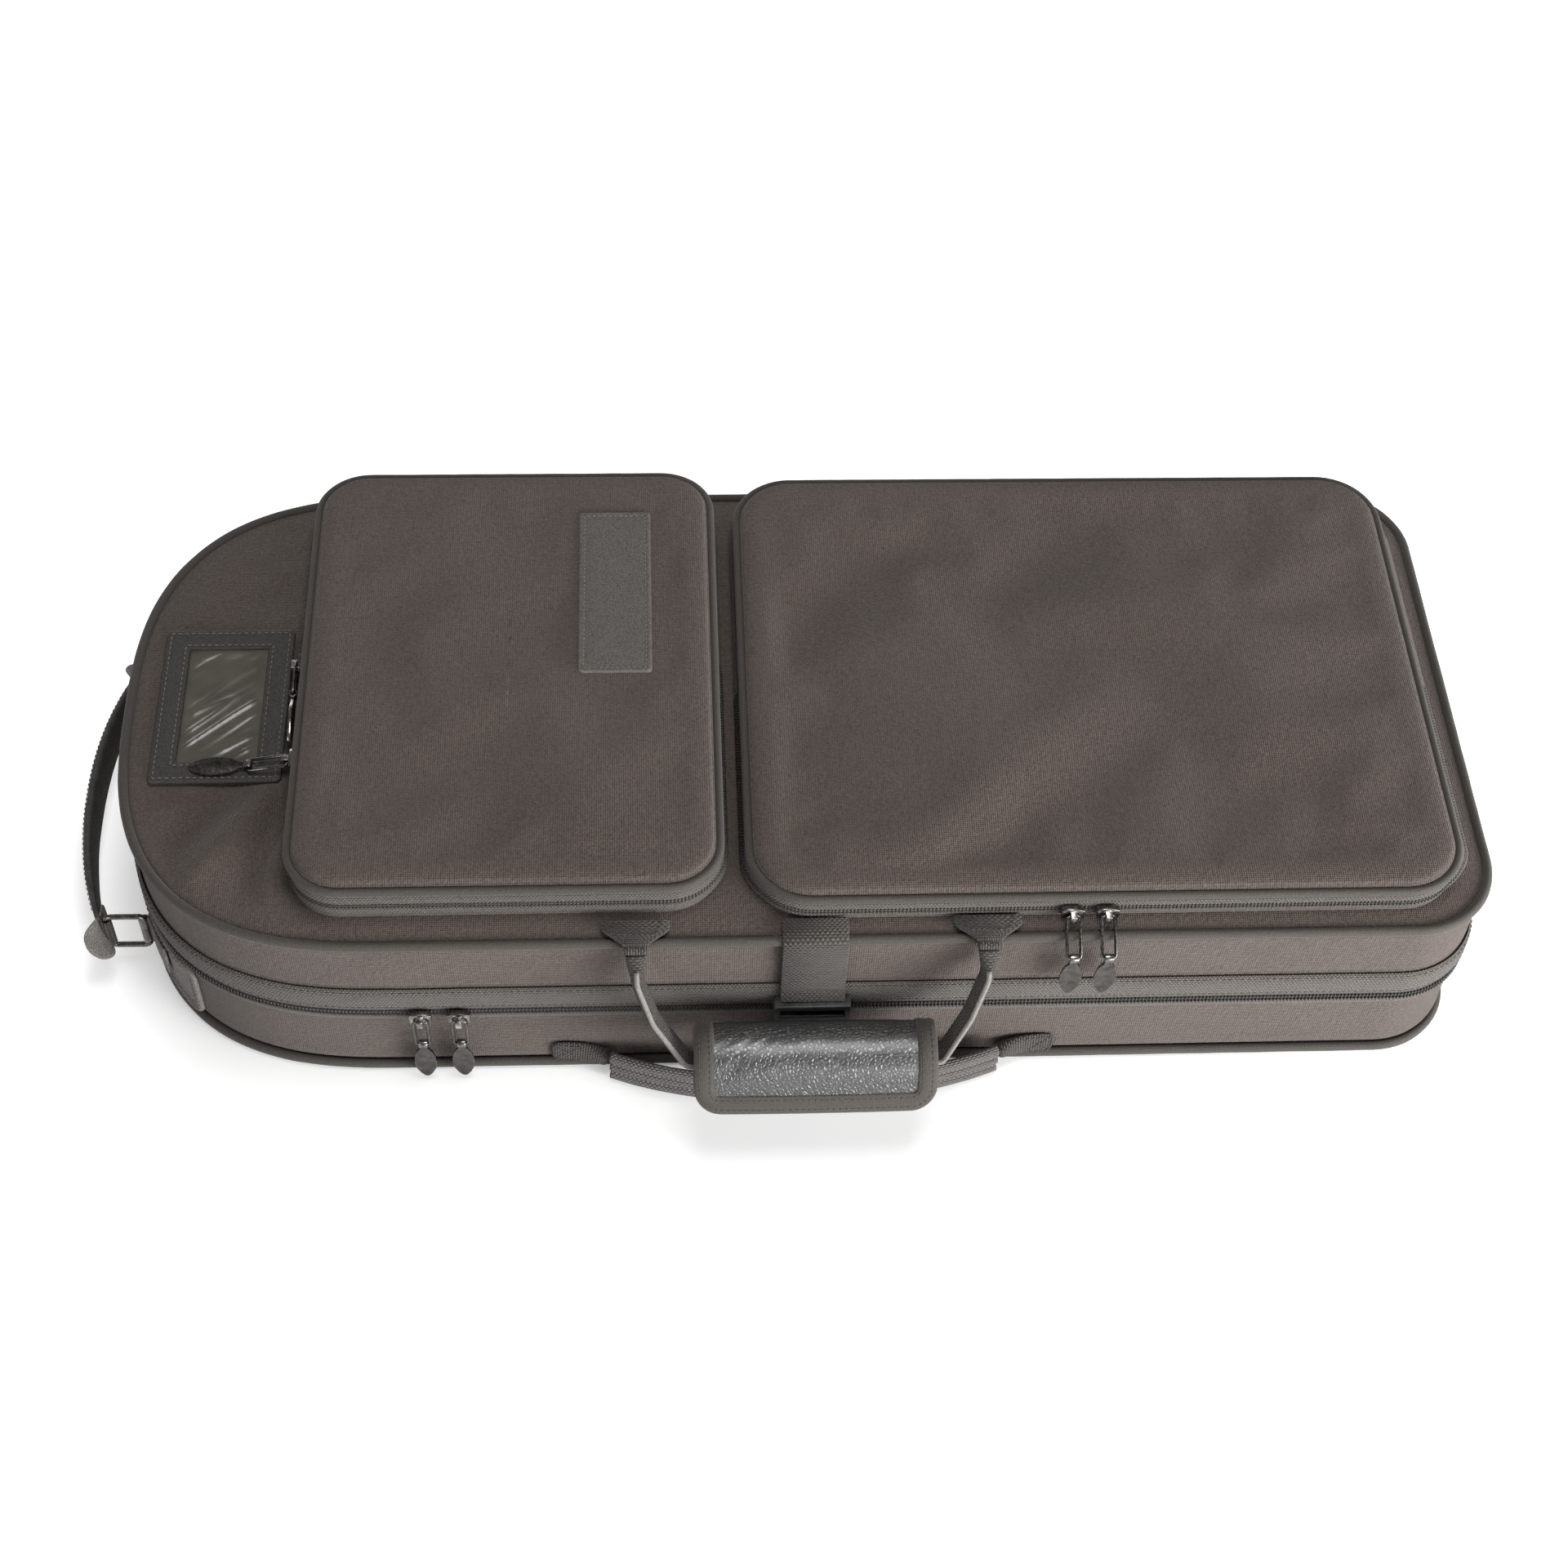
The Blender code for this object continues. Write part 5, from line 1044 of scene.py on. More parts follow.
def make_pocket(side, pocket, folds, growth):
    """One pocket: sewn lower wall, zip tapes and teeth, padded cover with its cord."""
    slack, crown, per_metre, body = settings().slack, 0.6 * MM, 17, f"{side}_pocket_cover"
    top, seam = pocket.top / MM, pocket.seam / MM
    cord_top = top - POCKET_CREASE_DROP
    cord_low = cord_top - POCKET_CREASE
    lean_top = cord_low + 1

    mesh = band(pocket.outline, [(0.0, 111.2), (0.05, 113.4), (0.05, seam - 0.9), (-0.3, seam - 0.2),
                                 (-3.6, seam - 0.2), (-4, seam - 1), (-4, 111.2)])
    finish(f"{side}_pocket_wall", pocket.lean(mesh, lean_top), "side_nylon", "lid",
           [f"{side}_pocket_gusset"])

    profile = [(-4, top - 5), (-4, seam + 1.0), (-3.6, seam + 0.3), (-0.4, seam + 0.25), (0, seam + 0.9),
               (0.0, (seam + cord_low) / 2), (-0.1, cord_low - 0.5), (-0.8, cord_low - 0.1),
               (-1.9, cord_low + 0.2), (-2.0, cord_low + 2.5), (-1.9, cord_top - 0.9), (-2.2, cord_top - 0.2),
               (-3.0, cord_top)]
    for turn in spread(0, math.pi / 2, 12)[1:]:
        profile.append((-3.0 - 11.0 * (1 - math.cos(turn)) ** 1.4,
                        cord_top + (top + POCKET_ROLL - cord_top) * math.sin(turn)))
    rows = pocket.outline.rows(profile)

    def relief(place):
        """The top's crown, its broad waves and its folds."""
        wave = waves(place.x * per_metre, place.y * per_metre, top)
        deep = min(max(pocket.depth(place) - 12 * MM, 0.0) / (110 * MM), 1.0)
        puff = crown * (1 - (1 - deep) ** 2)
        return puff + soft_step(deep, 0.0, 0.12) * (wave * slack * 0.15 + fold_height(place, folds))

    rise = settled_cloth(pocket, relief, growth)

    def height(place, share, start):
        roll = POCKET_ROLL * MM * (math.exp(-max(pocket.depth(place) - 14 * MM, 0.0) / (9 * MM)) - 1)
        clear = soft_step(pocket.beside_label(place), 0.0, 16 * MM)
        return start + roll + (relief(place) + rise(place)) * clear

    lining = top_rows(rows[0], pocket.spine(), level, 14)
    rows = lining[::-1] + rows + top_rows(rows[-1], pocket.spine(), height, 48)
    mesh = shell(rows, around=True, pinch=2.1, both=True)
    ripple(mesh, slack * 0.35, 30.0, lambda p: soft_step(p.z, pocket.seam + 1 * MM, pocket.seam + 3 * MM) * (
        p.z < (cord_low - 0.6) * MM))
    cover = finish(body, pocket.lean(mesh, lean_top), "nylon", body, [f"{side}_pocket_flap"])

    section = [(0.0, -3.4), (0.45, -3.1), (0.5, -1.6), (0.45, -0.8), (0.4, 0.0), (0.45, 0.8), (0.5, 1.6),
               (0.45, 3.1), (0.0, 3.4), (-0.05, 1.6), (-0.1, 0.8), (-0.1, 0.0), (-0.1, -0.8), (-0.05, -1.6)]
    mesh = shell([[Vector((x, pocket.rear + (0.15 + out) * MM, pocket.seam + up * MM))
                   for x in spread(pocket.left + pocket.radius, pocket.right - pocket.radius, 60)]
                  for out, up in section], along=True)
    finish(f"{side}_pocket_hinge", mesh, "side_nylon", "lid",
           blend=(body, *[(0, pocket.rear, pocket.seam + reach * MM) for reach in (-0.9, 0.9)]))

    cord(f"{side}_pocket_cord", pocket.outline, cord_top - POCKET_CREASE / 2, POCKET_CORD, body,
         f"{side}_pocket_piping", 0.2, 70.0, top)
    path = pocket.zip_path()
    for name, low, high, tooth, rides, nodes in (
            ("lower", 113.6, seam - 0.25, seam - 1.0, "lid", [f"{side}_pocket_zip"]),
            ("upper", seam + 0.3, cord_low + 0.3, seam + 1.05, body, [])):
        mesh = pocket.lean(tape(path, -0.2, 0.45, 0.7, low, high, 0.1), lean_top)
        finish(f"{side}_pocket_tape_{name}", mesh, "band", rides, nodes)
        teeth = pocket.lean(zip_teeth(path, 0.75, tooth, 1.5, 1.0, 1.2), lean_top)
        finish(f"{side}_pocket_teeth_{name}", teeth, "coil", rides)


class CASE_OT_small_pocket(bpy.types.Operator):
    """Makes the small zipped pocket on the rounded end's side"""

    bl_idname = "case.small_pocket"
    bl_label = "Small pocket"

    def execute(self, context):
        make_pocket("small", SMALL_POCKET, SMALL_FOLDS, growth=0.0015)
        return {"FINISHED"}


class CASE_OT_large_pocket(bpy.types.Operator):
    """Makes the large zipped pocket with its slack top"""

    bl_idname = "case.large_pocket"
    bl_label = "Large pocket"

    def execute(self, context):
        make_pocket("large", LARGE_POCKET, LARGE_FOLDS, growth=0.0025)
        return {"FINISHED"}


def seam_loops(name, box, insets, height, body, pitch, length):
    """Stitched lines round a patch, each at its inset from the patch's edge; all but the box in mm."""
    left, right, front, rear, radius = box
    rows = []
    for inset in insets:
        step = inset * MM
        outline = rounded_box(left + step, right - step, front + step, rear - step,
                              max(radius - step, 0.3 * MM), 400)
        row = outline.row(0, height)
        rows.append(row + row[:1])
    sew(name, rows, Z, "thread", body, pitch, length, ragged=0.12)


class CASE_OT_name_window(bpy.types.Operator):
    """Makes the stitched leather frame and the clear sheet of the name window"""

    bl_idname = "case.name_window"
    bl_label = "Name window"

    def execute(self, context):
        left, right, front, rear = box = -325 * MM, -259 * MM, -50 * MM, 50 * MM
        base = SURFACE / MM
        profile = [(0.0, -0.9), (0.1, 0.5), (0.0, 1.1), (-0.7, 1.5), (-2, 1.6), (-7, 1.55), (-11.5, 1.6),
                   (-12.6, 1.4), (-13, 0.9), (-13, -0.9)]
        mesh = band(rounded_box(*box, 3 * MM, 240), [(out, base + rise) for out, rise in profile])
        finish("window_frame", mesh, "leather", "lid", ["id_frame"])
        seam_loops("window_stitching", (*box, 3 * MM), (2.6, 10.6), base + 1.68, "lid", 3.4, 2.4)

        # The sheet lies in the frame's opening with raised creases that run aslant and fade at its edge
        border, lines, columns, fade = 13.1 * MM, 60, 40, 6
        rows = []
        for line, y in enumerate(spread(front + border, rear - border, lines)):
            row = []
            for column, x in enumerate(spread(left + border, right - border, columns)):
                edge = min(column, columns - column, line, lines - line) / fade
                slant = noise.noise(Vector(((x * 0.62 - y * 0.78) * 110, (x * 0.78 + y * 0.62) * 9, 2.0)))
                ridge = (1 - min(abs(slant) * 1.6, 1.0)) ** 3
                row.append(Vector((x, y, SURFACE + (0.3 + 1.35 * ridge * min(edge, 1.0)) * MM)))
            rows.append(row)
        mesh = shell(rows, fill=False)
        piece = finish("window_sheet", mesh, "vinyl", "lid", ["id_window"], levels=1)
        return {"FINISHED"}


class CASE_OT_label_patch(bpy.types.Operator):
    """Makes the bare leather patch on the small pocket"""

    bl_idname = "case.label_patch"
    bl_label = "Label patch"

    def execute(self, context):
        left, right, front, rear = box = SMALL_POCKET.label
        middle, inset = (left + right) / 2, 18.8 * MM
        profile = [(-0.2, -0.6), (0, 0.3), (0, 1.0), (-0.5, 1.5), (-2.2, 1.5), (-2.8, 1.2), (-3.4, 1.35),
                   (-9, 1.4)]
        rows = rounded_box(*box, 2 * MM, 200).rows([(out, LABEL_LEVEL + rise) for out, rise in profile])
        rows += top_rows(rows[-1], ((middle, front + inset), (middle, rear - inset)), level, 8)
        mesh = shell(rows, around=True, pinch=0.9)
        finish("label_leather", mesh, "label", "small_pocket_cover", ["label_patch"])
        seam_loops("label_stitching", (*box, 2 * MM), (2.8,), LABEL_LEVEL + 1.35, "small_pocket_cover", 2.8,
                   1.8)
        return {"FINISHED"}


def along_line(start, end, count=8):
    """Evenly spaced points from start to end."""
    return [start.lerp(end, share) for share in spread(0, 1, count)]


# The carry handle hangs from its pivot in the direction DOWN, and DEEP points across it
DOWN = (GRIP_CENTRE - PIVOT).normalized()
DEEP = Vector((0, -DOWN.z, DOWN.y))
REACH = (GRIP_CENTRE - PIVOT).length


class CASE_OT_carry_strap(bpy.types.Operator):
    """Makes the folded webbing of the carry handle and its anchors on the lid"""

    bl_idname = "case.carry_strap"
    bl_label = "Carry strap"

    def execute(self, context):
        for side, centre in zip(("left", "right"), HANDLE_ENDS):
            base = SURFACE + 1.2 * MM
            corners = [Vector((centre, -137.4 * MM, base)), Vector((centre, -146.0 * MM, base + 0.2 * MM)),
                       Vector((centre, -150.5 * MM, base - 0.4 * MM)), PIVOT + X * centre]
            mesh = strap(smooth_path(corners, 24), X, lambda share: 33 - 22.4 * soft_step(share, 0.25, 0.98),
                         2.2)
            roll = X * 5.4 * MM
            join(mesh, tube(along_line(corners[-1] - roll, corners[-1] + roll, 6), 2.15, 14))
            finish(f"anchor_{side}", mesh, "webbing", "lid", [f"handle_anchor_{side}"])
            far, near = [[Vector((centre + half * MM, y * MM, base + 1.35 * MM)) for half in (-reach, reach)]
                         for reach, y in ((13.5, -138.6), (9.72, -146.2))]
            rows = [along_line(*ends) for ends in (far, (far[0], near[0]), (far[1], near[1]), near)]
            sew(f"anchor_{side}_stitching", rows, Z, "dark_thread", "lid", 2.6, 2.0, 0.55)

        corners = []
        for centre, inward, grip_end in zip(HANDLE_ENDS, (X, -X),
                                            (GRIP_ENDS[0] - 4 * MM, GRIP_ENDS[1] + 4 * MM)):
            top = PIVOT + X * centre
            half = [top + DOWN * 2.4 * MM, top + inward * 0.5 * MM + DOWN * 16 * MM,
                    top + inward * 8 * MM + DOWN * 38 * MM, PIVOT + X * grip_end + DOWN * REACH]
            corners += half if inward == X else half[::-1]
        path = smooth_path(corners, 140, 2)

        def flat(share):
            """1 where the webbing lies flat, 0 where it is folded at its two ends."""
            return soft_step(min(share, 1 - share), 0.0, 0.055)

        mesh = strap(path, DEEP, lambda share: 3 + 10 * flat(share), lambda share: 10 - 4.2 * flat(share),
                     corner=0.5)
        finish("folded_strap", mesh, "webbing", "carry_handle", ["carry_strap"])
        edges = bmesh.new()
        last = len(path) - 1
        for sign in (-1, 1):
            for first, second in ((4, 50), (last - 50, last - 4)):
                edge = [path[index] + DEEP * sign * (1.5 + 5.2 * flat(index / last)) * MM
                        for index in range(first, second)]
                join(edges, tube(edge, 1.3, 8))
        # Pale edging tubes on both edges of the strap; their light colour is partly a painted highlight.
        finish("strap_edging", edges, "pale_edge", "carry_handle")
        return {"FINISHED"}


# The grip's leather: where it starts, its length round the grip, its thickness in mm, the share that lies
# on the grip, how far its start lies under its end, the grip's fullness, and how its free flap curls in
GRIP_TURN = math.radians(212)
WRAP = 2 * math.pi * 18.3 * MM
SHEET = 3.0
FLAP = 0.865
UNDERLAP = 3.2 * MM
BARREL = 0.9 * MM
CURL = 9.0


def wrap_place(point):
    """From the flat leather (round the grip, along it, above its face) to its place on the grip."""
    share = min(point.x / WRAP, FLAP)
    turn = GRIP_TURN + 2 * math.pi * share
    along = (point.y - GRIP_ENDS[0]) / (GRIP_ENDS[1] - GRIP_ENDS[0])
    barrel = BARREL * (1 - abs(2 * along - 1) ** 2.5)
    radius = GRIP_RADIUS - UNDERLAP * (1 - share) + point.z + barrel - 0.6 * MM
    loose = max(point.x - FLAP * WRAP, 0.0)
    across = -loose * math.sin(turn) - loose * loose * CURL
    down = loose * math.cos(turn)
    return Vector((point.y, GRIP_CENTRE.y + radius * math.cos(turn) + across,
                   GRIP_CENTRE.z + radius * math.sin(turn) + down))


def wrap_outline(margin):
    """The flat leather's outline, in reverse: square where it starts, rounded at its free edge."""
    low, high, corner = GRIP_ENDS[0] + margin, GRIP_ENDS[1] - margin, 12 * MM
    points = [Vector((0, low))]
    points += arc((WRAP - margin - corner, low + corner), corner, -90, 0, 10)
    points += arc((WRAP - margin - corner, high - corner), corner, 0, 90, 10)
    points.append(Vector((0, high)))
    return points[::-1]


class CASE_OT_grip(bpy.types.Operator):
    """Makes the leather wrap of the carry handle with its bound and stitched edges"""

    bl_idname = "case.grip"
    bl_label = "Leather grip"

    def execute(self, context):
        flat = Outline(wrap_outline(0.8 * MM), 260, closed=True)

        def crease(place, share, start):
            """The face's height with creases, deeper towards the left end."""
            fold = waves((place.x * 1.2 + place.y * 0.8) * 70, (place.y - place.x) * 14, 1.0)
            near_end = 1 - soft_step(place.y, GRIP_ENDS[0] + 12 * MM, GRIP_ENDS[0] + 50 * MM)
            return start + (0.18 + 0.55 * near_end) * MM * fold * soft_step(share, 0.0, 0.3)

        spine = ((WRAP * 0.48, GRIP_ENDS[0] + 54 * MM), (WRAP * 0.48, GRIP_ENDS[1] - 54 * MM))
        under = top_rows(flat.row(-1, -SHEET), spine, level, 16)
        rows = under[::-1] + flat.rows([(0, -SHEET), (0.0, -0.4), (-0.5, 0)])
        rows += top_rows(flat.row(-1, 0.05), spine, crease, 40)
        mesh = shell([[wrap_place(point) for point in row] for row in rows], around=True)
        grip = finish("leather_wrap", mesh, "grip_leather", "carry_handle", ["handle_grip"])

        rim = Outline(wrap_outline(0.0), 300)
        binding, stitches = [[[wrap_place(point) for point in row] for row in rim.rows(profile)]
                             for profile in (
            [(0.5, -2.9), (0.75, -1.4), (0.55, 0.2), (-0.4, 0.85), (-4.4, 0.95), (-8.4, 0.85), (-9.0, 0.3),
             (-8.8, -0.6), (-5.0, -3.4), (-1.0, -3.5)], [(-1.9, 0.98), (-7.0, 0.98)])]
        finish("grip_binding", shell(binding, along=True), "piping", "carry_handle")
        sew("grip_stitching", stitches, lambda here, way: (here - GRIP_CENTRE - X * here.x).normalized(),
            "dark_thread", "carry_handle", 3.0, 2.2)
        first, core_share = GRIP_ENDS[0] + 2 * MM, 0.966
        core = [Vector((x, GRIP_CENTRE.y, GRIP_CENTRE.z))
                for x in spread(first, first + core_share * (GRIP_ENDS[1] - GRIP_ENDS[0]), 20)]
        core_piece = finish("grip_core", tube(core, 14.6, 32), "side_nylon", "carry_handle")
        return {"FINISHED"}


class CASE_OT_lower_handle(bpy.types.Operator):
    """Makes the ridged lower strap and its patches on the base"""

    bl_idname = "case.lower_handle"
    bl_label = "Lower handle"

    def execute(self, context):
        points = [Vector((LOWER_ENDS[0] + (LOWER_ENDS[1] - LOWER_ENDS[0]) * (share + 1) / 2,
                          -155.5 * MM - 16 * MM * (1 - abs(share) ** 2.5))) for share in spread(1, -1, 80)]
        path = Outline(points, 160)
        ridge_width, bottom = 22 / 3, 1.5
        profile = [(-1.4, 2.1), (-1.4, 12.5), (-1.4, 22.9), (-0.8, 23.5)]
        for ridge in range(3):
            for share in spread(0, 1, 8):
                profile.append((0.9 + 2.1 * abs(math.sin(math.pi * share)) ** 0.55,
                                23.5 - ridge_width * (ridge + share)))
        profile.append((-0.8, bottom))
        mesh = band(path, profile)
        ripple(mesh, 0.3 * MM, 50.0, seed=5.0)
        finish("ridged_strap", mesh, "worn_webbing", "lower_handle", ["lower_strap"])
        sew("ridged_strap_stitching", path.rows([(1.15, bottom + ridge_width * groove) for groove in (1, 2)]),
            outward, "dark_thread", "lower_handle", 3.2, height=0.6)

        # The patches' stations: out from the strap's end, height, width and thickness
        stations = [(31.3, 14.8, 16.0, 1.6), (22, 14.8, 16.0, 1.9), (12, 14.6, 15.6, 3.6),
                    (5, 13.4, 12.0, 7.0), (0.3, 12.5, 8.2, 9.0)]

        def pick(column):
            """A size of the stations as it varies along the patch."""
            def value(share):
                spot = share * (len(stations) - 1)
                low = min(int(spot), len(stations) - 2)
                first, second = stations[low][column], stations[low + 1][column]
                return first + (second - first) * (spot - low)
            return value

        for side, end, way in zip(("left", "right"), LOWER_ENDS, (-1, 1)):
            path = [Vector((end + way * out * MM, FRONT - (0.3 + thick / 2) * MM, height * MM))
                    for out, height, _, thick in stations]
            finish(f"lower_patch_{side}", strap(path, Z, pick(2), pick(3)), "webbing", "base",
                   [f"strap_patch_{side}"], levels=1)
            corners = [Vector((end + way * out * MM, FRONT - (2.3 + (29 - out) / 14) * MM, height * MM))
                       for out, height in ((29, 8.4), (15, 8.4), (15, 21.2), (29, 21.2), (29, 8.4),
                                           (15, 21.2), (15, 8.4), (29, 21.2))]
            rows = [along_line(*ends) for ends in zip(corners, corners[1:])]
            sew(f"lower_patch_{side}_stitching", rows, -Y, "dark_thread", "base", 2.6, 2.0, 0.55)
        return {"FINISHED"}


class CASE_OT_closing_strap(bpy.types.Operator):
    """Makes the closing webbing, its buckle and the buckle's webbing on the base"""

    bl_idname = "case.closing_strap"
    bl_label = "Closing strap and buckle"

    def execute(self, context):
        out, base = -150.8 * MM, SURFACE + 0.9 * MM
        corners = [Vector((CLOSING_CENTRE, y, z)) for y, z in (
            (-137.4 * MM, base), (-145.6 * MM, base), (-149.6 * MM, (LID_CORD + 3.2) * MM),
            (out, (LID_CORD - 1) * MM), (out, (LID_CORD - 7) * MM), (out + 0.6 * MM, 90 * MM), (out, 73 * MM),
            (BUCKLE_BAR.y, BUCKLE_BAR.z + 0.6 * MM))]
        finish("closing_webbing", strap(smooth_path(corners, 64), X, 32, 1.7), "webbing", "lid",
               ["closing_strap"], blend=("buckle", (CLOSING_CENTRE, out, 100 * MM),
                                         (CLOSING_CENTRE, out, 70 * MM)))
        for name, body in (("buckle_plug", "buckle"), ("buckle_socket", "base")):
            finish(f"{name}_moulding", refined(name, 0.55, angle=30), "plastic", body,
                   [name], sharp=50)
        path = [Vector((CLOSING_CENTRE, -148.15 * MM, height * MM)) for height in (8, 14, 20, 26, 32)]
        finish("buckle_webbing", strap(path, X, 28, 1.6), "webbing", "base", ["buckle_tab"])
        return {"FINISHED"}


def nearest(place):
    """The index of the case outline's point nearest to a place in the plan."""
    return min(range(len(CASE.points)), key=lambda i: (CASE.points[i] - place).length)


def rounded_loop(corners, radius):
    """A closed path with round corners."""
    made = []
    for index, corner in enumerate(corners):
        before = (corners[index - 1] - corner).normalized()
        after = (corners[(index + 1) % len(corners)] - corner).normalized()
        middle = corner + (before + after) * radius
        made += [middle - after * radius * math.cos(turn) - before * radius * math.sin(turn)
                 for turn in spread(0, math.pi / 2, 6)]
    return evenly(made, 90, closed=True)


def end_patch():
    """The leather patch round the case's end, with its raised border and two stitched lines."""
    middle_x, reach = -200 * MM, 120.5 * MM
    plan = Outline([point for point in CASE.points if point.x < middle_x and abs(point.y) <= reach], 170)
    low, high, last = 6.8 * MM, 47.05 * MM, len(plan.points) - 1
    length = sum((b - a).length for a, b in zip(plan.points, plan.points[1:]))

    def place(point):
        """From the flat patch (along the end, up, above its face) to its place on the case."""
        spot = clamp(point.x / length) * last
        index = min(int(spot), last - 1)
        base, normal = [values[index].lerp(values[index + 1], spot - index)
                        for values in (plan.points, plan.normals)]
        return Vector((*(base + normal * point.z), point.y))

    flat = rounded_box(0.0, length, low, high, 9 * MM, 520)
    rows = flat.rows([(0.0, 0.1), (0.0, 1.5), (-0.6, 2.2), (-1.6, 2.4), (-2.8, 2.3), (-3.5, 1.8),
                      (-3.9, 1.35), (-5, 1.3)])
    spine = ((20 * MM, (low + high) / 2), (length - 20 * MM, (low + high) / 2))
    rows += top_rows(rows[-1], spine, level, 8)
    mesh = shell([[place(point) for point in row] for row in rows], around=True, pinch=0.8)
    ripple(mesh, 0.25 * MM, 55.0, seed=3.0)
    finish("end_leather", mesh, "trim", "base", ["end_patch"])
    lines = [[place(point) for point in row + row[:1]] for row in flat.rows([(-1.7, 2.45), (-5.6, 1.45)])]
    sew("end_leather_stitching", lines, lambda here, way: Vector((here.x - middle_x, here.y, 0)).normalized(),
        "thread", "base", 3.4, 2.6)


def end_ring(side, way):
    """One ring of the end handle with the tab that holds it; way is -1 at the front and 1 at the rear."""
    bar = Vector((RING_BAR_X, way * RING_Y, END_HANDLE_HEIGHT))
    near = nearest(bar.xy)
    normal = Vector((*CASE.normals[near], 0))
    onward = Z.cross(normal) * -way
    if onward.y * way < 0:
        onward = -onward
    path = []
    for away in spread(24, 2, 11):
        close = nearest(CASE.points[near] + onward.xy * away * MM)
        path.append(Vector((*(CASE.points[close] + CASE.normals[close] * 2.75 * MM), END_HANDLE_HEIGHT)))
    path += [bar + (normal * math.cos(turn) - onward * math.sin(turn)) * 2.5 * MM
             for turn in spread(0, math.pi, 12)]
    finish(f"ring_tab_{side}", strap(smooth_path(path, 60), Z, 20.8, 1.5), "trim", "base",
           [f"end_anchor_{side}"])
    corners = [Vector((x, bar.y, END_HANDLE_HEIGHT + half * MM))
               for x, half in ((OUTER_BAR_X, -12.5), (OUTER_BAR_X, 12.5), (RING_BAR_X, 12.5),
                               (RING_BAR_X, -12.5))]
    finish(f"end_ring_{side}_wire", tube(rounded_loop(corners, 3.5 * MM), 1.5, 14, closed=True), "metal",
           f"{side}_ring", [f"end_ring_{side}"])


def ring_tongue(side, way):
    """The end of the end handle's strap: a rounded tongue past the ring, and a wrap round the ring's bar."""
    tongue, ups = [], []
    for share in spread(0, 1, 28):
        tilt = math.radians(42) * soft_step(share, 0.15, 0.8)
        tongue.append(Vector((OUTER_BAR_X - (2.6 + 1.2 * soft_step(share, 0.3, 1.0)) * MM,
                              way * (RING_Y + (-10 + 26 * share) * MM), END_HANDLE_HEIGHT)))
        ups.append(Vector((-math.sin(tilt), 0, math.cos(tilt))))
    mesh = strap(tongue, ups, lambda share: 21 * max(1 - max(share - 0.62, 0) ** 2 / 0.155, 0.04) ** 0.5, 2.2)
    finish(f"ring_tongue_{side}", mesh, "trim", "end_handle", levels=1)
    bar = Vector((OUTER_BAR_X, way * RING_Y, END_HANDLE_HEIGHT))
    wrap = [bar + Vector((math.cos(turn), math.sin(turn), 0)) * 2.4 * MM
            for turn in spread(0, 2 * math.pi, 24)]
    finish(f"ring_wrap_{side}", strap(wrap, Z, 20, 1.3), "webbing", "end_handle")


def fullness(share):
    """How full the end handle's strap is along its length, from 0 at its ends to 1."""
    return math.sin(math.pi * clamp(share)) ** 0.5


class CASE_OT_end_handle(bpy.types.Operator):
    """Makes the handle on the rounded end, with its rings, tabs and leather patch"""

    bl_idname = "case.end_handle"
    bl_label = "End handle"

    def execute(self, context):
        sides = (("front", -1), ("rear", 1))
        end_patch()
        for side, way in sides:
            end_ring(side, way)
        bulge = END_STRAP_MIDDLE_X - END_STRAP_X
        path = smooth_path([Vector((END_STRAP_X + bulge * (1 - abs(share) ** 2.2), share * RING_Y,
                                    END_HANDLE_HEIGHT)) for share in spread(-1, 1, 96)], 97)
        mesh = strap(path, Z, lambda share: 21.4 + 4.6 * fullness(share),
                     lambda share: 3.0 + 2.0 * fullness(share), corner=0.5)
        ripple(mesh, 0.3 * MM, 45.0, seed=6.0)
        handle = finish("end_grip", mesh, "leather", "end_handle", ["end_strap"])
        for side, way in sides:
            ring_tongue(side, way)
        rows = []
        for sign in (-1, 1):
            row = []
            for index in range(4, 93):
                full = fullness(index / 96)
                out = outward(path[index], (path[index + 1] - path[index - 1]).normalized())
                row.append(path[index] + out * (1.65 + full) * MM + Z * sign * (8.1 + 2.3 * full) * MM)
            rows.append(row)
        sew("end_grip_stitching", rows, outward, "thread", "end_handle", 3.2)
        return {"FINISHED"}


class CASE_OT_zip_pulls(bpy.types.Operator):
    """Makes the sliders, links and leaf shaped pulls of the zips"""

    bl_idname = "case.zip_pulls"
    bl_label = "Zip pulls"

    def execute(self, context):
        for pull in ("main_zip_left", "main_zip_right", "large_zip_left", "large_zip_right",
                     "small_zip_front", "small_zip_rear"):
            for kind, bevel, segments, inset in (("slider", 0.4, 3, None), ("link", 0.25, 2, None),
                                                 ("tag", 0.35, 2, (1.3, -0.5))):
                node = f"{pull}_{kind}"
                finish(f"{node}_metal", refined(node, bevel, segments, inset=inset), "metal", f"{node}_body",
                       [node], sharp=40)
        return {"FINISHED"}


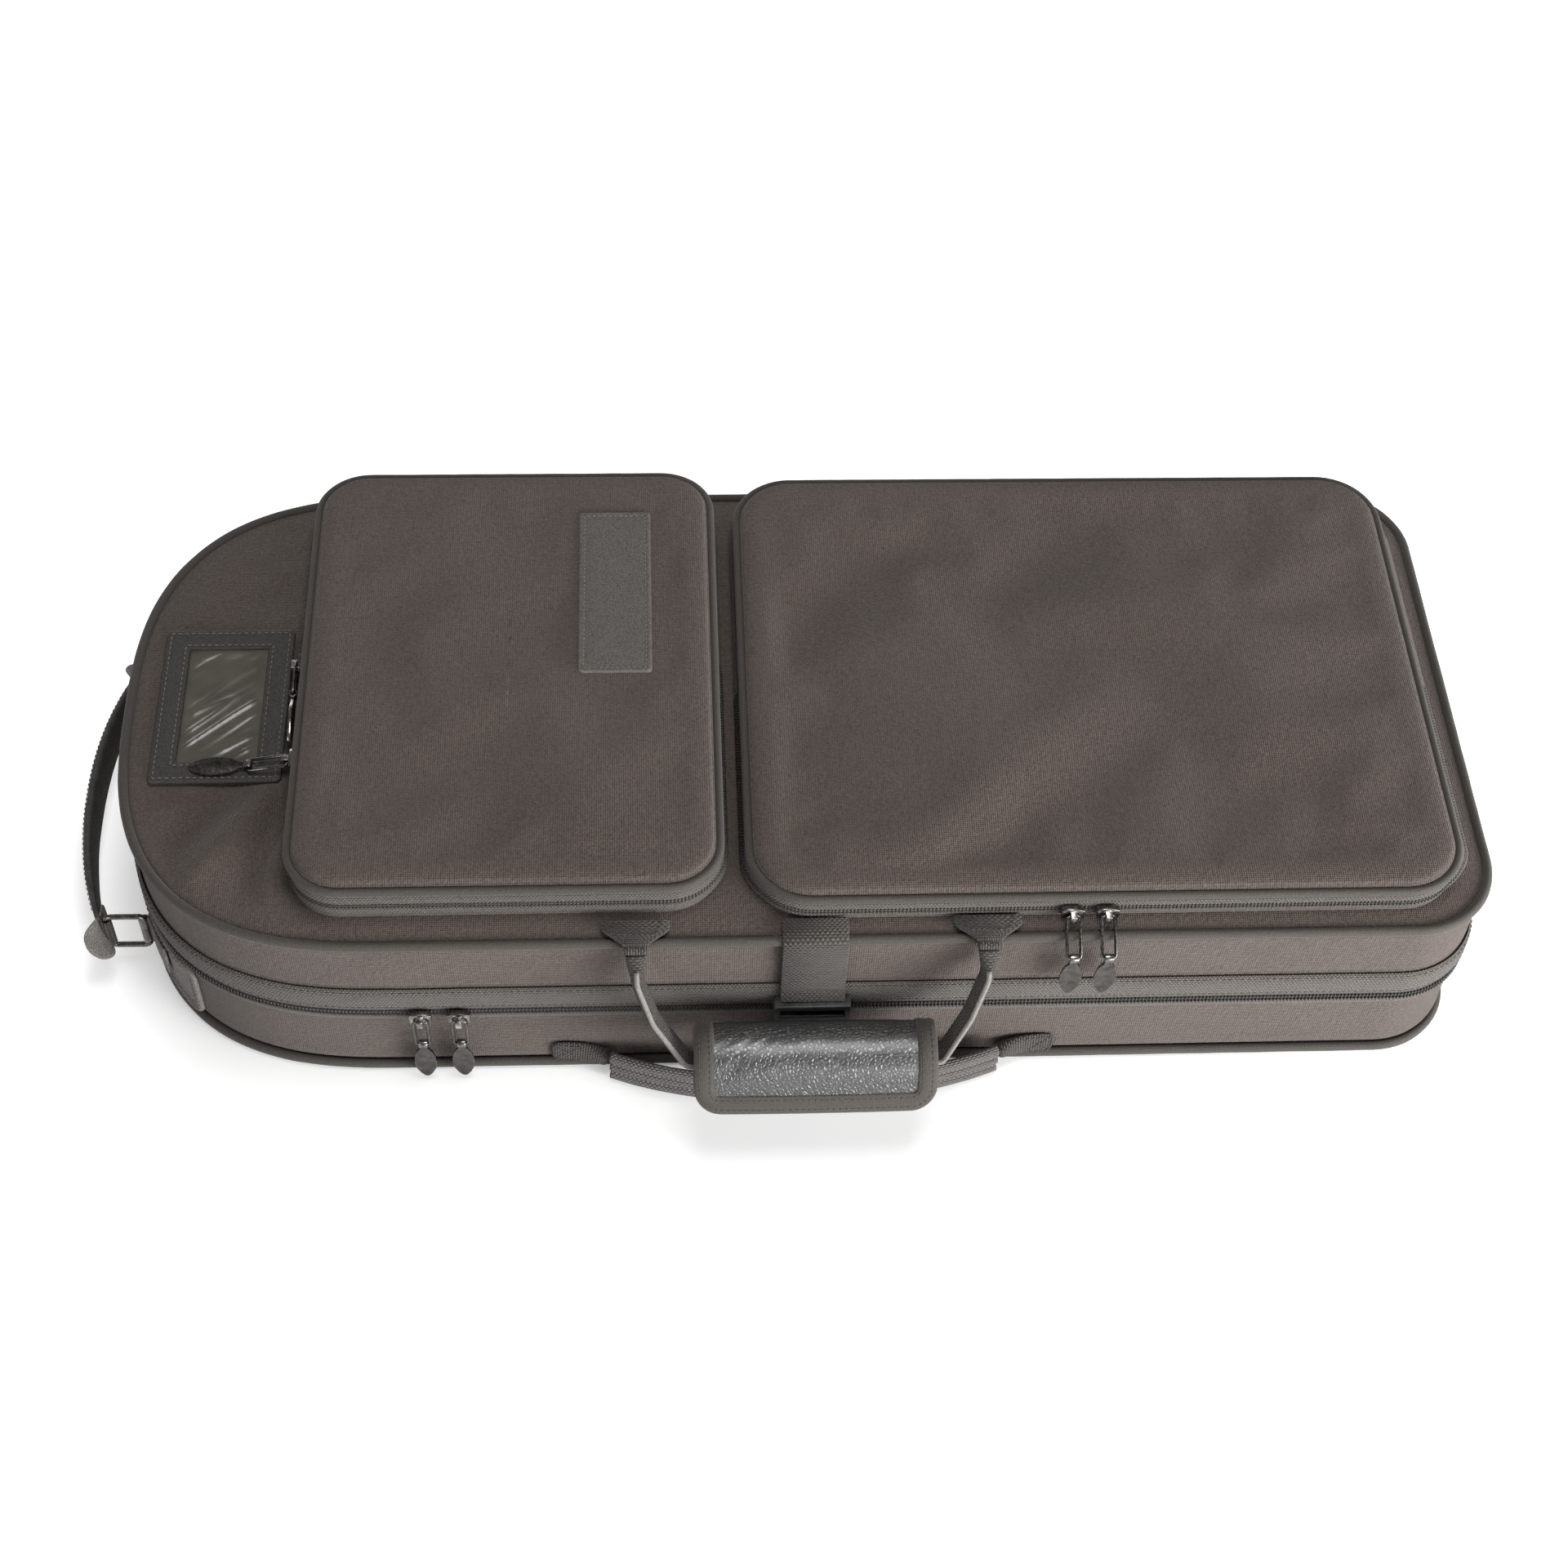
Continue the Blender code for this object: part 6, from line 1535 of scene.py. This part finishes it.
class CASE_OT_interior(bpy.types.Operator):
    """Makes the plush insert in the base and the padded lining of the lid"""

    bl_idname = "case.interior"
    bl_label = "Insert and lining"

    def execute(self, context):
        insert = finish("fitted_insert", refined("base_insert", 1.6), "plush", "base",
                        ["base_insert"], sharp=60)
        spine = ((LEFT_END + HALF_WIDTH, 0.0), (RIGHT_END - HALF_WIDTH, 0.0))
        quilting = 85 * MM

        def puff(place, share, start):
            """The lining's face, quilted in squares."""
            quilt = abs(math.sin(place.x * math.pi / quilting)) * abs(math.sin(place.y * math.pi / quilting))
            return 103.6 * MM - 1.4 * MM * quilt ** 0.5 * soft_step(share, 0.0, 0.2)

        under = top_rows(CASE.row(-6.4, 103.8), spine, puff, 44)
        top = top_rows(CASE.row(-5.6, 107.5), spine, lambda place, share, start: 107.6 * MM, 6)
        mesh = shell(top[::-1] + CASE.rows([(-5.5, 105.5), (-5.8, 104.2)]) + under, around=True, pinch=2.2)
        lining = finish("lid_pad", mesh, "plush", "lid", ["lid_lining"])
        return {"FINISHED"}


CAMERA = Matrix(((0.99860, 0.01261, -0.05117, -0.0723), (-0.04116, 0.79308, -0.60775, -0.8176),
                 (0.03292, 0.60901, 0.79250, 1.1080), (0, 0, 0, 1)))
SOFT_LEVEL = 0.16
# Lights: name, place, target, size, power
LIGHTS = (("front_light", (1.35, -2.05, 0.62), (0.10, -0.10, 0.05), (2.2, 1.1), 47.0),
          ("fill_light", (-1.60, -1.60, 0.80), (-0.10, -0.10, 0.05), (1.2, 0.9), 10.0),
          ("window_light", (0.12, -0.12, 1.95), (-0.02, -0.10, 0.05), (0.9, 0.6), 18.0),
          ("low_light", (1.30, -1.00, 0.30), (0.25, -0.15, 0.03), (1.1, 0.5), 34.0),
          ("rear_light", (-0.50, 2.30, 0.55), (0.00, 0.10, 0.05), (2.2, 0.8), 16.0))


class CASE_OT_stage(bpy.types.Operator):
    """Makes the pale floor, the soft studio lights, the world and the photograph's camera"""

    bl_idname = "case.stage"
    bl_label = "Stage"

    def execute(self, context):
        scene = context.scene
        mesh = bmesh.new()
        bmesh.ops.create_grid(mesh, x_segments=8, y_segments=8, size=6.0)
        data = bpy.data.meshes.new("floor")
        mesh.to_mesh(data)
        mesh.free()
        floor = bpy.data.objects.new("floor", data)
        scene.collection.objects.link(floor)
        data.materials.append(looks()["floor"])
        for name, place, target, size, power in LIGHTS:
            lamp = bpy.data.lights.new(name, "AREA")
            lamp.shape, lamp.energy = "RECTANGLE", power * settings().light_level
            lamp.size, lamp.size_y = size
            holder = bpy.data.objects.new(name, lamp)
            holder.location = place
            holder.rotation_euler = (Vector(target) - Vector(place)).to_track_quat("-Z", "Y").to_euler()
            scene.collection.objects.link(holder)
        world = bpy.data.worlds.new("soft studio")
        world.use_nodes = True
        world.node_tree.nodes.clear()
        nodes = Nodes(world.node_tree)
        soft = nodes.add("Background", (1, 1, 1), SOFT_LEVEL)
        white = nodes.add("Background", (1, 1, 1), 1.0)
        seen = nodes.add("LightPath").outputs["Is Camera Ray"]
        mixed = nodes.add("MixShader", seen, soft.outputs[0], white.outputs[0])
        nodes.add("OutputWorld", mixed.outputs[0])
        scene.world = world
        data = bpy.data.cameras.new("camera")
        data.sensor_width, data.lens, data.clip_end = 36.0, 57.39, 50.0
        camera = bpy.data.objects.new("camera", data)
        camera.matrix_world = CAMERA
        scene.collection.objects.link(camera)
        scene.camera = camera
        scene.view_settings.view_transform = "Standard"
        return {"FINISHED"}


def length(name, text, default, low, high):
    return bpy.props.FloatProperty(name=name, description=text, default=default, min=low, max=high,
                                   unit="LENGTH", precision=4)


def colour(name, text, default):
    return bpy.props.FloatVectorProperty(name=name, description=text, default=default, size=3, min=0.0,
                                         max=1.0, subtype="COLOR")


class CaseSettings(bpy.types.PropertyGroup):
    """What can be set before the pieces are made"""

    slack: length("Slack", "How far the pockets' cloth waves up and down", 0.0016, 0.0, 0.003)
    tooth_pitch: length("Tooth pitch", "Distance between the zips' teeth", 0.0018, 0.001, 0.004)
    weave_pitch: length("Weave pitch", "Distance between the nylon's threads", 0.0011, 0.0005, 0.003)
    light_level: bpy.props.FloatProperty(name="Light level", description="Multiplies the power of the lights",
                                         default=1.0, min=0.1, max=4.0)
    fabric_colour: colour("Fabric", "Base colour of the cover's nylon", (0.077, 0.0595, 0.0510))
    piping_colour: colour("Piping", "Base colour of the cords along the edges", (0.050, 0.043, 0.037))
    band_colour: colour("Zip bands", "Base colour of the ribbed zip bands", (0.085, 0.075, 0.067))
    webbing_colour: colour("Webbing", "Base colour of the straps", (0.050, 0.045, 0.039))
    leather_colour: colour("Leather", "Base colour of the name window's frame and the end grip",
                           (0.044, 0.039, 0.033))
    grip_colour: colour("Grip", "Base colour of the carry handle's leather", (0.020, 0.020, 0.021))


STEPS = ("stage", "base_cover", "lid_cover", "pipings", "main_zip", "hinge_strip", "small_pocket",
         "large_pocket", "name_window", "label_patch", "carry_strap", "grip", "lower_handle", "closing_strap",
         "end_handle", "zip_pulls", "interior")


class CASE_PT_panel(bpy.types.Panel):
    """Lists the operators and the settings in the 3D view's sidebar"""

    bl_idname = "CASE_PT_panel"
    bl_label = "Bassoon case"
    bl_space_type = "VIEW_3D"
    bl_region_type = "UI"
    bl_category = "Bassoon case"

    def draw(self, context):
        column = self.layout.column(align=True)
        for name in CaseSettings.__annotations__:
            column.prop(settings(), name)
        column.separator()
        for step in STEPS:
            column.operator(f"case.{step}")


CLASSES = (CaseSettings, CASE_OT_stage, CASE_OT_base_cover, CASE_OT_lid_cover, CASE_OT_pipings,
           CASE_OT_main_zip, CASE_OT_hinge_strip, CASE_OT_small_pocket, CASE_OT_large_pocket,
           CASE_OT_name_window, CASE_OT_label_patch, CASE_OT_carry_strap, CASE_OT_grip, CASE_OT_lower_handle,
           CASE_OT_closing_strap, CASE_OT_end_handle, CASE_OT_zip_pulls, CASE_OT_interior, CASE_PT_panel)


def register():
    for item in CLASSES:
        bpy.utils.register_class(item)
    bpy.types.Scene.bassoon_case = bpy.props.PointerProperty(type=CaseSettings)


def unregister():
    del bpy.types.Scene.bassoon_case
    for item in reversed(CLASSES):
        bpy.utils.unregister_class(item)


def main():
    register()
    for step in STEPS:
        getattr(bpy.ops.case, step)()


if __name__ == "__main__":
    main()
